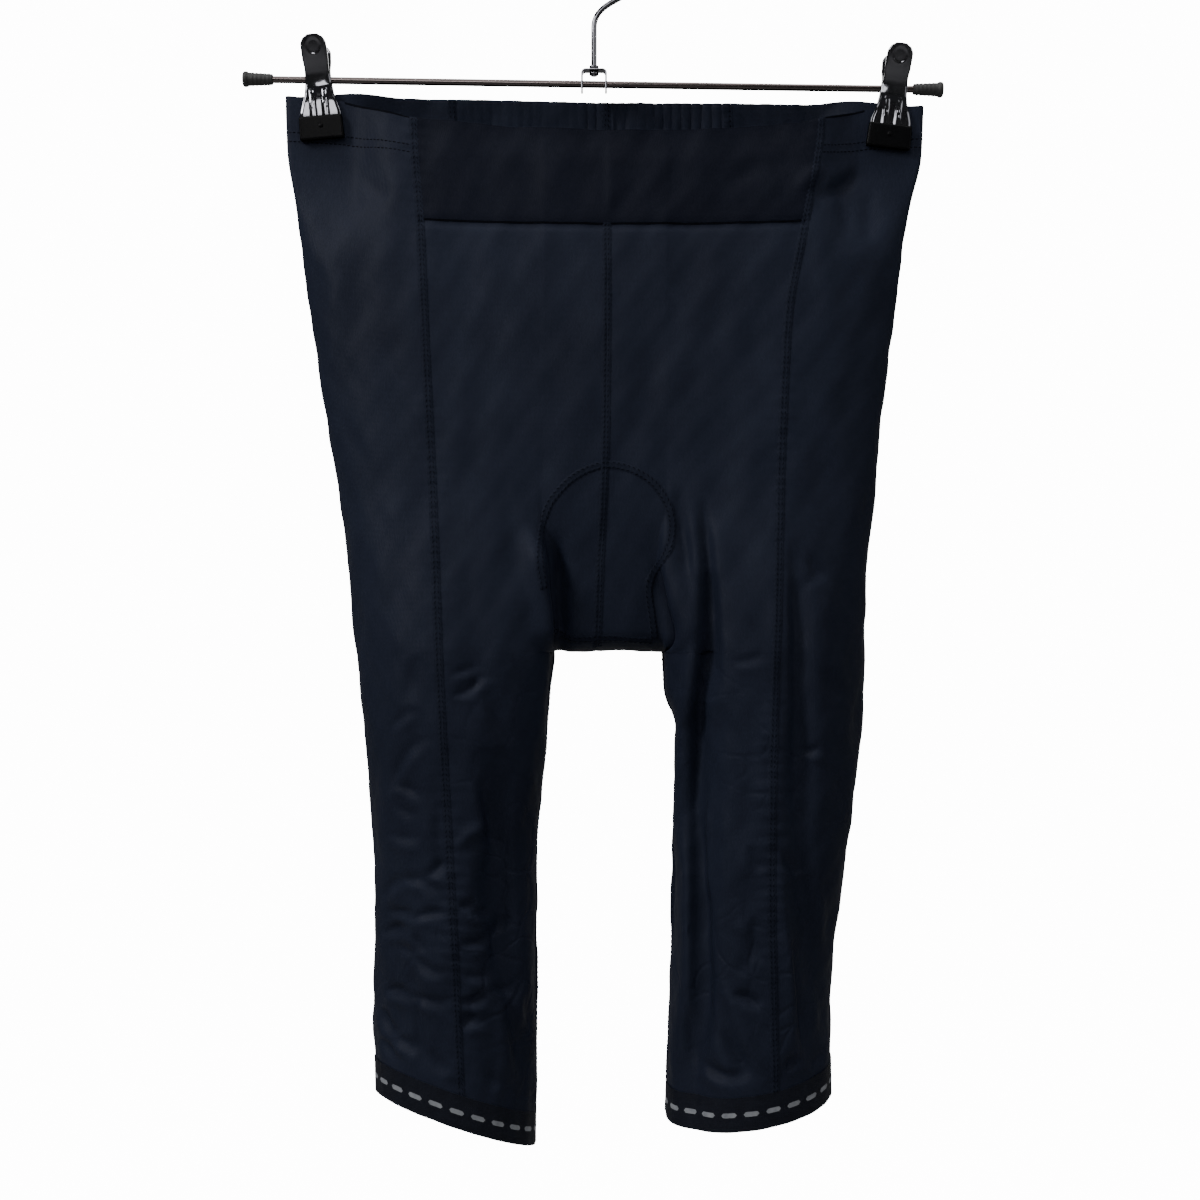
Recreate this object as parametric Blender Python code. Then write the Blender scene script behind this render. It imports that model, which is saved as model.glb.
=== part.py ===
"""Three-quarter cycling tights hung on a clip hanger.

Sizes are in millimetres and become metres when a mesh is made. The origin is the inside of
the hook's crown, where a rail carries the hanger. +Z is up and the front of the tights faces
-Y. The wearer's right is at -X.
"""

import math

import bpy
import numpy as np

MM = 0.001

# Cloth walls
WALL = 1.2
CASING_WALL = 2.4
YOKE_WALL = 2.0
CUFF_WALL = 1.8
PAD_WALL = 4.0
PAD_CLEARANCE = 0.4
SEAM_GAP = 0.3

# Heights of the main lines, before the waist's sag and the hem's slant
WAIST_TOP = -114.0
CASING_DEPTH = 27.0
CASING_STEP = 2.0
YOKE_LINE = -185.0
PAD_TOP = -337.0
PAD_SHOULDER = -373.0
CROTCH = -446.0
CROTCH_ROUNDING = 12.0
# Below the crotch the flat inner side of each leg narrows by this share, down to a height
INNER_TAPER = 0.75
INNER_END = -560.0
CUFF_TOP = {"right": -704.0, "left": -694.5}
CUFF_DEPTH = 20.0

# Sections common to both halves: how far the cloth stands forward and back of the hanger's
# plane at the crown of each thigh and at the centre seams
BODY_COLUMNS = ("z", "centre", "front", "back", "mid_front", "mid_back")
BODY = (
    (-112, 7.7, 13, 15, 15, 17),
    (-145, 7.7, 17, 20, 19, 21),
    (-190, 7.7, 22, 26, 24, 27),
    (-250, 7.7, 27, 33, 28, 33),
    (-310, 7.2, 31, 39, 31, 36),
    (-350, 6.0, 34, 43, 31, 36),
    (-390, 4.0, 41, 47, 28, 34),
    (-430, 2.4, 48, 50, 24, 30),
    (-446, 1.8, 50, 51, 22, 28),
    (-480, 1.8, 51, 51, 22, 28),
    (-540, 1.8, 49, 49, 22, 28),
    (-600, 1.8, 47, 47, 22, 28),
    (-660, 1.8, 46, 46, 22, 28),
    (-760, 1.8, 45, 45, 22, 28),
)

# Outline of each half: the crease beside the pad, which is the inner edge of the leg below
# the crotch, and the outer edge
OUTLINE_COLUMNS = ("z", "inner", "outer")
OUTLINE = {
    "right": (
        (-112, -30, -185.4),
        (-145, -30, -184.5),
        (-175, -30, -180),
        (-235, -30, -171.6),
        (-295, -30, -162.6),
        (-355, -31, -153),
        (-400, -26, -147),
        (-446, -25, -142.2),
        (-475, -27.6, -139.2),
        (-505, -29.4, -136.8),
        (-535, -33, -134.4),
        (-565, -34.8, -132.6),
        (-625, -34.2, -131.4),
        (-685, -34.8, -131.4),
        (-760, -36, -130),
    ),
    "left": (
        (-112, 43, 198),
        (-145, 43, 197),
        (-175, 43, 190.8),
        (-235, 43, 181.2),
        (-295, 43, 174),
        (-355, 43, 168.6),
        (-400, 36, 164),
        (-446, 42, 162),
        (-469, 43, 161),
        (-492, 50.5, 160),
        (-535, 50, 156),
        (-565, 48.6, 151.8),
        (-595, 47.4, 147.6),
        (-655, 45, 141.6),
        (-760, 42.6, 142.2),
    ),
}

# Where the long seams run, as x on the front and on the back
SEAM_COLUMNS = ("z", "side_front", "side_back")
SEAMS = {
    "right": (
        (-112, -107, -86),
        (-190, -102, -84),
        (-254, -99, -82),
        (-420, -90, -82),
        (-508, -85.8, -82),
        (-570, -82.4, -83),
        (-690, -77, -83),
        (-760, -74, -83),
    ),
    "left": (
        (-112, 135, 82),
        (-190, 124, 86),
        (-254, 113.6, 90),
        (-420, 106, 98),
        (-508, 102.7, 101),
        (-570, 102.3, 99),
        (-690, 104.7, 94),
        (-760, 106, 93),
    ),
}

# The front of the waist hangs below the back: drop against the share of the way from the
# centre seam to the outer edge
SAG_SHARE = (0.0, 0.3, 0.6, 0.82, 1.0)
SAG_DROP = (-23.0, -21.5, -16.5, -5.0, -2.0)
SAG_LEVEL = (-235.0, -185.0, -141.0, -114.0)
SAG_KEPT = (0.0, 0.36, 0.62, 1.0)
BACK_RISE = 1.5

# The hem hangs at a slant: how much higher than the mean the outer side and the front are
HEM_OUTER = {"right": 16.5, "left": 7.0}
HEM_FRONT = {"right": 6.0, "left": -6.0}
HEM_START = -560.0

# Each clip presses the two layers of the waist flat
JAW_X = {"right": -162.7, "left": 176.2}
PRESSED_HALF = 2.9
PRESSED_WIDTH = 15.5
PRESSED_FADE = 30.0
PRESSED_BOTTOM = -152.0
PRESSED_END = -215.0

# The largest folds, each a trough or, with a negative depth, a ridge on one face
FOLD_COLUMNS = ("half", "face", "top_x", "top_z", "bottom_x", "bottom_z", "depth", "width")
FOLDS = (
    ("left", "front", 66, -400, 58, -720, 8, 8),
    ("left", "front", 116, -405, 118, -590, 4, 8),
    ("left", "front", 122, -575, 128, -700, 4, 9),
    ("left", "back", 70, -420, 76, -700, 5, 9),
    ("left", "back", 132, -470, 126, -690, 4, 9),
    ("right", "front", -57, -500, -52, -640, 5, 8),
    ("right", "front", -112, -560, -116, -690, 3, 9),
    ("right", "back", -60, -430, -56, -680, 5, 9),
    ("right", "back", -112, -500, -108, -660, 4, 9),
)

# A fold dies away where its face is this near the hanger's plane
FOLD_EDGE = 15.0

# Columns of the solids across each stretch of a section, from front centre to back centre
STRETCHES = (
    ("bridge_front", 4),
    ("front", 8),
    ("side_front", 3),
    ("clip_front", 3),
    ("clip_back", 3),
    ("side_back", 4),
    ("back", 7),
    ("bridge_back", 4),
)
# The clip stretches run this far from the outer edge, to the inner end of the clip's jaws
CLIP_STRETCH = 37.5
LEG_ROWS = 11
# Points along a section before it is divided into those columns
SECTION_STEPS = {"bridge": 12, "inner": 3, "quarter": 24}
SMOOTHING_PASSES = 4

# Hanger
BAR_LENGTH = 402.0
BAR_RADIUS = 2.1
BAR_CENTRE = (-0.6, -105.9)
BAR_SLOPE = -0.0152
CAP_BORE_DEPTH = 9.0
CAP_INNER_RADIUS = 3.3
CAP_OUTER_RADIUS = 4.7
CAP_REACH = 210.0
CAP_EDGE = 0.8
WIRE_RADIUS = 1.7
HOOK_RADIUS = 30.0
HOOK_START = -62.0
HOOK_END = 212.0
STEM_TOP = -72.0
STEM_EASE = 9.0
HOOK_STEPS = 26
COLLAR_RADIUS = 2.8
COLLAR_HEIGHT = 2.0
BRACKET_WIDTH = 15.6
BRACKET_DEPTH = 8.0
BRACKET_TOP = -97.0
BRACKET_BOTTOM = -110.4
BRACKET_WALL = 1.2
FIT = 0.3
ROUND_SIDES = 12

# Clip leaves, measured from the bar's axis: height, half width, distance of the middle of the
# sheet from the hanger's plane
LEAF_COLUMNS = ("height", "half_width", "offset")
LEAF = (
    (24.0, 3.6, 13.2),
    (22.4, 6.0, 12.6),
    (18.5, 7.7, 11.4),
    (12.0, 7.7, 8.6),
    (6.0, 7.3, 5.2),
    (1.5, 7.6, 3.5),
    (-3.0, 7.9, 3.3),
    (-9.0, 8.6, 4.3),
    (-16.0, 10.6, 5.2),
    (-22.0, 12.0, 5.4),
    (-33.0, 12.0, 5.4),
)
LEAF_WALL = 1.0
LEAF_COLUMNS_ACROSS = 4
CLIP_TILT = {"right": -5.0, "left": 7.0}
JAW_WIDTH = 26.4
JAW_TOP = -22.8
JAW_BOTTOM = -37.0
JAW_FACE = 3.35
JAW_DEPTH = 4.1
JAW_SLOT = 1.6
JAW_FLOOR = 3.0
JAW_CENTRE_HEIGHT = -30.0

MATERIALS = {
    "lycra": ((0.012, 0.015, 0.023, 1), 0.55, 0.0),
    "pad": ((0.02, 0.022, 0.03, 1), 0.8, 0.0),
    "elastic": ((0.012, 0.013, 0.018, 1), 0.7, 0.0),
    "chrome": ((0.8, 0.8, 0.82, 1), 0.12, 1.0),
    "vinyl": ((0.01, 0.01, 0.012, 1), 0.35, 0.0),
    "cap_rubber": ((0.012, 0.012, 0.012, 1), 0.6, 0.0),
}


def clear_scene():
    for obj in list(bpy.data.objects):
        bpy.data.objects.remove(obj, do_unlink=True)


def make_materials():
    made = {}
    for name, (colour, roughness, metallic) in MATERIALS.items():
        material = bpy.data.materials.new(name)
        material.use_nodes = True
        shader = material.node_tree.nodes["Principled BSDF"]
        shader.inputs["Base Color"].default_value = colour
        shader.inputs["Roughness"].default_value = roughness
        shader.inputs["Metallic"].default_value = metallic
        material.diffuse_color = colour
        made[name] = material
    return made


def smoothstep(value, start, end):
    """Goes from 0 at start to 1 at end."""
    share = np.clip((value - start) / (end - start), 0.0, 1.0)
    return share * share * (3.0 - 2.0 * share)


def read_table(table, columns, column, z):
    """A column of a table at height z, on a smooth curve through its rows."""
    rows = np.array(table, dtype=float)[::-1]
    heights = rows[:, 0]
    values = rows[:, columns.index(column)]
    steps = np.diff(values) / np.diff(heights)
    slopes = np.zeros(len(values))
    for i in range(1, len(values) - 1):
        if steps[i - 1] * steps[i] > 0:
            slopes[i] = 2.0 * steps[i - 1] * steps[i] / (steps[i - 1] + steps[i])
    i = int(np.clip(np.searchsorted(heights, z) - 1, 0, len(steps) - 1))
    span = heights[i + 1] - heights[i]
    t = np.clip((z - heights[i]) / span, 0.0, 1.0)
    bend = t * (1.0 - t) * span * (slopes[i] * (1.0 - t) - slopes[i + 1] * t)
    ease = t * t * (3.0 - 2.0 * t)
    return float(values[i] + (values[i + 1] - values[i]) * ease + bend)


def quarter(start, end, axis_first):
    """A quarter of an ellipse between two points, leaving start along x if axis_first is 0."""
    angle = np.linspace(0.0, math.pi / 2, SECTION_STEPS["quarter"] + 1)[1:]
    rise = np.sin(angle)
    fall = 1.0 - np.cos(angle)
    x_share, y_share = (rise, fall) if axis_first == 0 else (fall, rise)
    x = start[0] + (end[0] - start[0]) * x_share
    y = start[1] + (end[1] - start[1]) * y_share
    return np.column_stack((x, y))


def straight(start, end, steps):
    share = np.linspace(0.0, 1.0, SECTION_STEPS[steps] + 1)[1:, None]
    return np.array(start) + (np.array(end) - np.array(start)) * share


def smooth_open(points, centre):
    """Rounds the corners of a half section whose two ends lie on the centre seams."""
    for _ in range(SMOOTHING_PASSES):
        first = points[1] * (-1, 1) + (2 * centre, 0)
        last = points[-2] * (-1, 1) + (2 * centre, 0)
        padded = np.vstack((first, points, last))
        points = (padded[:-2] + 2 * padded[1:-1] + padded[2:]) / 4
    return points


def smooth_closed(points):
    """Rounds the corners of a leg's ring, whose first and last points are the same."""
    ring = points[:-1]
    for _ in range(SMOOTHING_PASSES):
        ring = (np.roll(ring, 1, axis=0) + 2 * ring + np.roll(ring, -1, axis=0)) / 4
    return np.vstack((ring, ring[:1]))


def press_waist(half, z, points):
    """Flattens the waist between a clip's jaws."""
    distance = np.abs(points[:, 0] - JAW_X[half])
    across = 1.0 - smoothstep(distance, PRESSED_WIDTH, PRESSED_WIDTH + PRESSED_FADE)
    share = across * smoothstep(z, PRESSED_END, PRESSED_BOTTOM)
    flat = np.clip(points[:, 1], -PRESSED_HALF, PRESSED_HALF)
    pressed = points.copy()
    pressed[:, 1] = points[:, 1] * (1 - share) + flat * share
    return pressed


def add_folds(half, z, points, first_back):
    """Pushes the folds' troughs into the faces that they lie on."""
    folded = points.copy()
    for row in FOLDS:
        fold = dict(zip(FOLD_COLUMNS, row))
        if fold["half"] != half or not fold["bottom_z"] < z < fold["top_z"]:
            continue
        share = (fold["top_z"] - z) / (fold["top_z"] - fold["bottom_z"])
        line = fold["top_x"] + (fold["bottom_x"] - fold["top_x"]) * share
        push = fold["depth"] * math.sin(math.pi * share) ** 0.5
        amount = push * np.exp(-(((points[:, 0] - line) / fold["width"]) ** 2))
        amount *= smoothstep(np.abs(points[:, 1]), 0.0, FOLD_EDGE)
        if fold["face"] == "front":
            folded[:first_back, 1] += amount[:first_back]
        else:
            folded[first_back:, 1] -= amount[first_back:]
    return folded


def section(half, z):
    """One half of the tights in plan at height z: its points, and the ends of its stretches.

    It runs from the centre-front seam round the outside to the centre-back seam. Below the
    crotch it is the leg's closed ring, and the two bridge stretches lie on the ring's seam.
    """
    body = {name: read_table(BODY, BODY_COLUMNS, name, z) for name in BODY_COLUMNS[1:]}
    inner = read_table(OUTLINE[half], OUTLINE_COLUMNS, "inner", z)
    outer = read_table(OUTLINE[half], OUTLINE_COLUMNS, "outer", z)
    crown = (inner + outer) / 2
    closed = z <= CROTCH
    tuck = 0.0 if closed else 1.0
    if CROTCH < z < CROTCH + CROTCH_ROUNDING:
        tuck = math.sqrt(1.0 - ((CROTCH + CROTCH_ROUNDING - z) / CROTCH_ROUNDING) ** 2)
    keep = 1.0 - INNER_TAPER * float(smoothstep(-z, -CROTCH, -INNER_END))
    mid_front, mid_back = body["mid_front"] * keep, body["mid_back"] * keep
    front_start, back_end = (inner, -mid_front * tuck), (inner, mid_back * tuck)
    quarters = np.vstack(
        (
            [front_start],
            straight(front_start, (inner, -mid_front), "inner"),
            quarter((inner, -mid_front), (crown, -body["front"]), 1),
            quarter((crown, -body["front"]), (outer, 0.0), 0),
            quarter((outer, 0.0), (crown, body["back"]), 1),
            quarter((crown, body["back"]), (inner, mid_back), 0),
            straight((inner, mid_back), back_end, "inner"),
        )
    )
    bridge = SECTION_STEPS["bridge"]
    if closed:
        ring = smooth_closed(quarters)
        seam = ring[0]
        start = (body["centre"], 0.0) if z == CROTCH else seam
        front = np.vstack(([start], straight(start, seam, "bridge")))
        points = np.vstack((front, ring[1:], straight(seam, start, "bridge")))
    else:
        front_centre = (body["centre"], -mid_front * tuck)
        back_centre = (body["centre"], mid_back * tuck)
        front = np.vstack(([front_centre], straight(front_centre, quarters[0], "bridge")))
        points = np.vstack((front, quarters[1:], straight(quarters[-1], back_centre, "bridge")))
        points = smooth_open(points, body["centre"])
    tip = bridge + SECTION_STEPS["inner"] + 2 * SECTION_STEPS["quarter"]
    points = press_waist(half, z, add_folds(half, z, points, tip))
    seams = seam_places(half, z, points, tip)
    clips = [place_from(points, tip, distance) for distance in (-CLIP_STRETCH, CLIP_STRETCH)]
    last = len(points) - 1
    return points, [0, bridge, seams[0], clips[0], tip, clips[1], seams[1], last - bridge, last]


def place_from(points, place, distance):
    """The place on a section at a distance along it from another."""
    steps = np.hypot(*np.diff(points, axis=0).T)
    length = np.concatenate(([0.0], np.cumsum(steps)))
    return float(np.interp(length[place] + distance, length, np.arange(len(points))))


def seam_places(half, z, points, tip):
    """Where along a section's points the side-front and side-back seams cross it."""
    places = []
    bridge = SECTION_STEPS["bridge"]
    last = len(points) - 1
    for name, inner_places, outward in (
        ("side_front", range(bridge, tip), 1),
        ("side_back", range(last - bridge, tip, -1), -1),
    ):
        wanted = abs(read_table(SEAMS[half], SEAM_COLUMNS, name, z))
        for near in inner_places:
            far = near + outward
            a, b = abs(points[near, 0]), abs(points[far, 0])
            if a <= wanted < b:
                places.append(near + outward * (wanted - a) / (b - a))
                break
    return places


def along(points, start, end, count):
    """Points at equal distances along a section between two places on it."""
    index = np.arange(len(points), dtype=float)
    inside = index[(index > start) & (index < end)]
    places = np.concatenate(([start], inside, [end]))
    stretch = np.column_stack([np.interp(places, index, points[:, k]) for k in (0, 1)])
    length = np.concatenate(([0.0], np.cumsum(np.hypot(*np.diff(stretch, axis=0).T))))
    if length[-1] == 0.0:
        return np.repeat(stretch[:1], count + 1, axis=0)
    wanted = np.linspace(0.0, length[-1], count + 1)
    return np.column_stack([np.interp(wanted, length, stretch[:, k]) for k in (0, 1)])


def height(half, z, points, tip_column):
    """The true height of each point of the level z, with the waist's sag and the hem's slant."""
    centre = read_table(BODY, BODY_COLUMNS, "centre", z)
    front = read_table(BODY, BODY_COLUMNS, "front", z)
    inner = read_table(OUTLINE[half], OUTLINE_COLUMNS, "inner", z)
    outer = read_table(OUTLINE[half], OUTLINE_COLUMNS, "outer", z)
    share = np.abs(points[:, 0] - centre) / abs(outer - centre)
    sag = np.interp(share, SAG_SHARE, SAG_DROP)
    edge = smoothstep(share[tip_column:], 0.7, 1.0)
    sag[tip_column:] = SAG_DROP[-1] * edge + BACK_RISE * (1.0 - edge)
    sag += BAR_SLOPE * points[:, 0]
    outward = (points[:, 0] - (inner + outer) / 2) / ((outer - inner) / 2)
    slant = HEM_OUTER[half] * outward - HEM_FRONT[half] * points[:, 1] / front
    sag *= np.interp(z, SAG_LEVEL, SAG_KEPT)
    return z + sag + slant * smoothstep(z, HEM_START, CUFF_TOP[half])


def level_heights(half):
    """The heights of the rows of the solids, and the rows where something begins or ends."""
    casing_end = WAIST_TOP - CASING_DEPTH
    step_end = casing_end - CASING_STEP
    tuck = [CROTCH + CROTCH_ROUNDING * (1 - math.sin(math.radians(a))) for a in (0, 30, 60, 90)]
    spans = (
        ("casing", WAIST_TOP, casing_end, 2),
        ("step", casing_end, step_end, 1),
        ("yoke", step_end, YOKE_LINE, 3),
        ("front", YOKE_LINE, PAD_TOP, 6),
        ("pad", PAD_TOP, PAD_SHOULDER, 2),
        ("pad_lower", PAD_SHOULDER, tuck[0], 3),
    )
    rows = [WAIST_TOP]
    ends = {}
    for name, start, end, count in spans:
        rows += list(np.linspace(start, end, count + 1)[1:])
        ends[name] = len(rows) - 1
    rows += tuck[1:]
    rows[-1] = CROTCH
    ends["crotch"] = len(rows) - 1
    rows += list(np.linspace(CROTCH, CUFF_TOP[half], LEG_ROWS + 1)[1:])
    ends["leg"] = len(rows) - 1
    rows += [CUFF_TOP[half] - CUFF_DEPTH]
    ends["cuff"] = len(rows) - 1
    return rows, ends


def column_ends():
    """The first column of each stretch, and of the one after it."""
    ends = {}
    column = 0
    for name, count in STRETCHES:
        ends[name] = (column, column + count)
        column += count
    return ends, column


def half_grid(half):
    """The outer face of one half as rows and columns of points."""
    rows, _ = level_heights(half)
    ends, _ = column_ends()
    tip_column = ends["clip_front"][1]
    grid = []
    for z in rows:
        points, places = section(half, z)
        parts = []
        for (_, count), start, end in zip(STRETCHES, places[:-1], places[1:]):
            stretch = along(points, start, end, count)
            parts.append(stretch if not parts else stretch[1:])
        row = np.vstack(parts)
        grid.append(np.column_stack((row, height(half, z, row, tip_column))))
    return np.array(grid)


class Skin:
    """The whole outer face of the tights, with one number for each welded point."""

    def __init__(self):
        self.numbers = {}
        self.points = []
        self.grids = {half: half_grid(half) for half in ("right", "left")}
        self.index = {half: self.weld(grid) for half, grid in self.grids.items()}
        self.normals = self.find_normals()

    def weld(self, grid):
        index = np.zeros(grid.shape[:2], dtype=int)
        for i in range(grid.shape[0]):
            for j in range(grid.shape[1]):
                key = tuple(np.round(grid[i, j], 2))
                if key not in self.numbers:
                    self.numbers[key] = len(self.points)
                    self.points.append(grid[i, j])
                index[i, j] = self.numbers[key]
        return index

    def faces(self, half, rows, columns):
        """Quads between two rows and two columns, facing out, without those of no width."""
        index = self.index[half]
        found = []
        for i in range(*rows):
            for j in range(*columns):
                quad = [index[i, j], index[i, j + 1], index[i + 1, j + 1], index[i + 1, j]]
                corners = list(dict.fromkeys(int(number) for number in quad))
                if len(corners) < 3:
                    continue
                found.append(corners if half == "right" else corners[::-1])
        return found

    def find_normals(self):
        points = np.array(self.points)
        total = np.zeros_like(points)
        _, columns = column_ends()
        for half in ("right", "left"):
            _, ends = level_heights(half)
            for face in self.faces(half, (0, ends["cuff"]), (0, columns)):
                corners = points[face]
                normal = np.cross(corners[2] - corners[0], corners[-1] - corners[1])
                for number in face:
                    total[number] += normal
        return total / np.linalg.norm(total, axis=1)[:, None]


def open_edges(faces):
    """The edges that only one face has, each as it runs in that face."""
    seen = set()
    for face in faces:
        for a, b in zip(face, face[1:] + face[:1]):
            seen.add((a, b))
    return [edge for edge in seen if (edge[1], edge[0]) not in seen]


def seam_shifts(points, faces, edges):
    """How each point on an open edge moves into its own piece, to leave half of a seam's gap."""
    owner = {}
    for face in faces:
        for edge in zip(face, face[1:] + face[:1]):
            owner[edge] = face
    pulls = {}
    for a, b in edges:
        corners = np.array([points[number] for number in owner[(a, b)]])
        normal = np.cross(corners[2] - corners[0], corners[-1] - corners[1])
        pull = np.cross(normal, points[b] - points[a])
        pull /= np.linalg.norm(pull)
        for number in (a, b):
            pulls.setdefault(number, []).append(pull)
    shifts = {}
    for number, pair in pulls.items():
        total = sum(pair)
        spread = max(0.4, 1.0 + float(np.dot(pair[0], pair[-1])))
        shifts[number] = total / spread * SEAM_GAP / 2
    return shifts


def wall_mesh(points, normals, faces, outer_depth, inner_depth):
    """A closed wall between two depths under a skin, as corner points and faces."""
    edges = open_edges(faces)
    shifts = seam_shifts(points, faces, edges)
    used = sorted({number for face in faces for number in face})
    place = {number: i for i, number in enumerate(used)}
    base = np.array([points[number] + shifts.get(number, 0.0) for number in used])
    out = np.array([normals[number] for number in used])
    depth = np.array([inner_depth(number) for number in used])[:, None]
    corners = np.vstack((base - out * outer_depth, base - out * depth))
    below = len(used)
    made = [[place[number] for number in face] for face in faces]
    made += [[place[number] + below for number in reversed(face)] for face in faces]
    made += [[place[b], place[a], place[a] + below, place[b] + below] for a, b in edges]
    return corners, made


def add_object(name, corners, faces, material):
    mesh = bpy.data.meshes.new(name)
    mesh.from_pydata([tuple(map(float, corner * MM)) for corner in np.array(corners)], [], faces)
    mesh.validate()
    mesh.materials.append(material)
    mesh.shade_smooth()
    mesh.set_sharp_from_angle(angle=math.radians(50))
    obj = bpy.data.objects.new(name, mesh)
    bpy.context.scene.collection.objects.link(obj)
    return obj


def cloth_piece(skin, name, patches, inner_depth, material):
    faces = [face for patch in patches for face in skin.faces(*patch)]
    points = skin.points
    corners, made = wall_mesh(points, skin.normals, faces, 0.0, inner_depth)
    return add_object(name, corners, made, material)


def casing_depth(skin):
    """Depth of the inner face of a panel whose top is turned in as a casing."""
    thick = set()
    for half in ("right", "left"):
        _, ends = level_heights(half)
        thick |= {int(number) for number in skin.index[half][: ends["casing"] + 1].ravel()}
    return lambda number: CASING_WALL if number in thick else WALL


def make_tights(materials):
    skin = Skin()
    columns, _ = column_ends()
    bridge_front, front = columns["bridge_front"], columns["front"]
    side = (columns["side_front"][0], columns["side_back"][1])
    back, bridge_back = columns["back"], columns["bridge_back"]
    _, ends = level_heights("right")
    top, yoke, crotch, leg, cuff = 0, ends["yoke"], ends["crotch"], ends["leg"], ends["cuff"]
    turned = casing_depth(skin)
    lycra = materials["lycra"]
    yoke_patches = []
    for half in ("right", "left"):
        yoke_patches.append((half, (top, yoke), (bridge_front[0], front[1])))
        front_patches = [(half, (yoke, crotch), bridge_front), (half, (yoke, leg), front)]
        cloth_piece(skin, f"front_{half}", front_patches, lambda _: WALL, lycra)
        cloth_piece(skin, f"side_{half}", [(half, (top, leg), side)], turned, lycra)
        back_patches = [(half, (top, leg), back), (half, (top, crotch), bridge_back)]
        cloth_piece(skin, f"back_{half}", back_patches, turned, lycra)
        ring = [(half, (leg, cuff), (front[0], back[1]))]
        cloth_piece(skin, f"cuff_{half}", ring, lambda _: CUFF_WALL, materials["elastic"])
    cloth_piece(skin, "waist_yoke", yoke_patches, lambda _: YOKE_WALL, lycra)
    make_pad(skin, materials["pad"])


def make_pad(skin, material):
    """The seat pad: a thicker layer just inside the bridge of the crotch, arched at both ends."""
    columns, _ = column_ends()
    rows, ends = level_heights("right")
    first = ends["front"]
    numbers = {}
    points = []
    normals = []

    def number_of(half, i, j, share):
        arch = PAD_SHOULDER + (PAD_TOP - PAD_SHOULDER) * math.sqrt(max(0.0, 1.0 - share * share))
        z = min(rows[i], arch)
        low = next(k for k in range(len(rows)) if rows[k] <= z)
        high = max(low - 1, 0)
        t = 0.0 if rows[high] == rows[low] else (rows[high] - z) / (rows[high] - rows[low])
        a, b = skin.index[half][high, j], skin.index[half][low, j]
        point = skin.points[a] * (1 - t) + skin.points[b] * t
        normal = skin.normals[a] * (1 - t) + skin.normals[b] * t
        key = tuple(np.round(point, 2))
        if key not in numbers:
            numbers[key] = len(points)
            points.append(point)
            normals.append(normal / np.linalg.norm(normal))
        return numbers[key]

    faces = []
    for half in ("right", "left"):
        for stretch in ("bridge_front", "bridge_back"):
            start, end = columns[stretch]
            for i in range(first, ends["crotch"]):
                for j in range(start, end):
                    quad = []
                    for row, column in ((i, j), (i, j + 1), (i + 1, j + 1), (i + 1, j)):
                        share = (column - start) / (end - start)
                        share = share if stretch == "bridge_front" else 1.0 - share
                        quad.append(number_of(half, row, column, share))
                    corners = list(dict.fromkeys(quad))
                    if len(corners) >= 3:
                        faces.append(corners if half == "right" else corners[::-1])
    outer = WALL + PAD_CLEARANCE
    corners, made = wall_mesh(points, normals, faces, outer, lambda _: outer + PAD_WALL)
    return add_object("seat_pad", corners, made, material)


def ring_points(centre, across, up, radius):
    angles = np.linspace(0.0, 2 * math.pi, ROUND_SIDES, endpoint=False)
    return [centre + radius * (across * math.cos(a) + up * math.sin(a)) for a in angles]


def sweep(name, path, radii, across, material):
    """A round wire along a path in a plane, with a radius at each point; across is the plane's normal."""
    path = np.array(path, dtype=float)
    across = np.array(across, dtype=float)
    corners = []
    for i, centre in enumerate(path):
        before = path[max(i - 1, 0)]
        after = path[min(i + 1, len(path) - 1)]
        if np.allclose(before, centre) or np.allclose(after, centre):
            run = path[min(i + 2, len(path) - 1)] - path[max(i - 2, 0)]
        else:
            run = after - before
        up = np.cross(across, run / np.linalg.norm(run))
        corners += ring_points(centre, across, up, radii[i])
    faces = []
    for i in range(len(path) - 1):
        for k in range(ROUND_SIDES):
            a, b = i * ROUND_SIDES + k, i * ROUND_SIDES + (k + 1) % ROUND_SIDES
            faces.append([a, a + ROUND_SIDES, b + ROUND_SIDES, b])
    faces.append(list(range(ROUND_SIDES)))
    faces.append(list(range(len(corners) - 1, len(corners) - 1 - ROUND_SIDES, -1)))
    return add_object(name, corners, faces, material)


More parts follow.
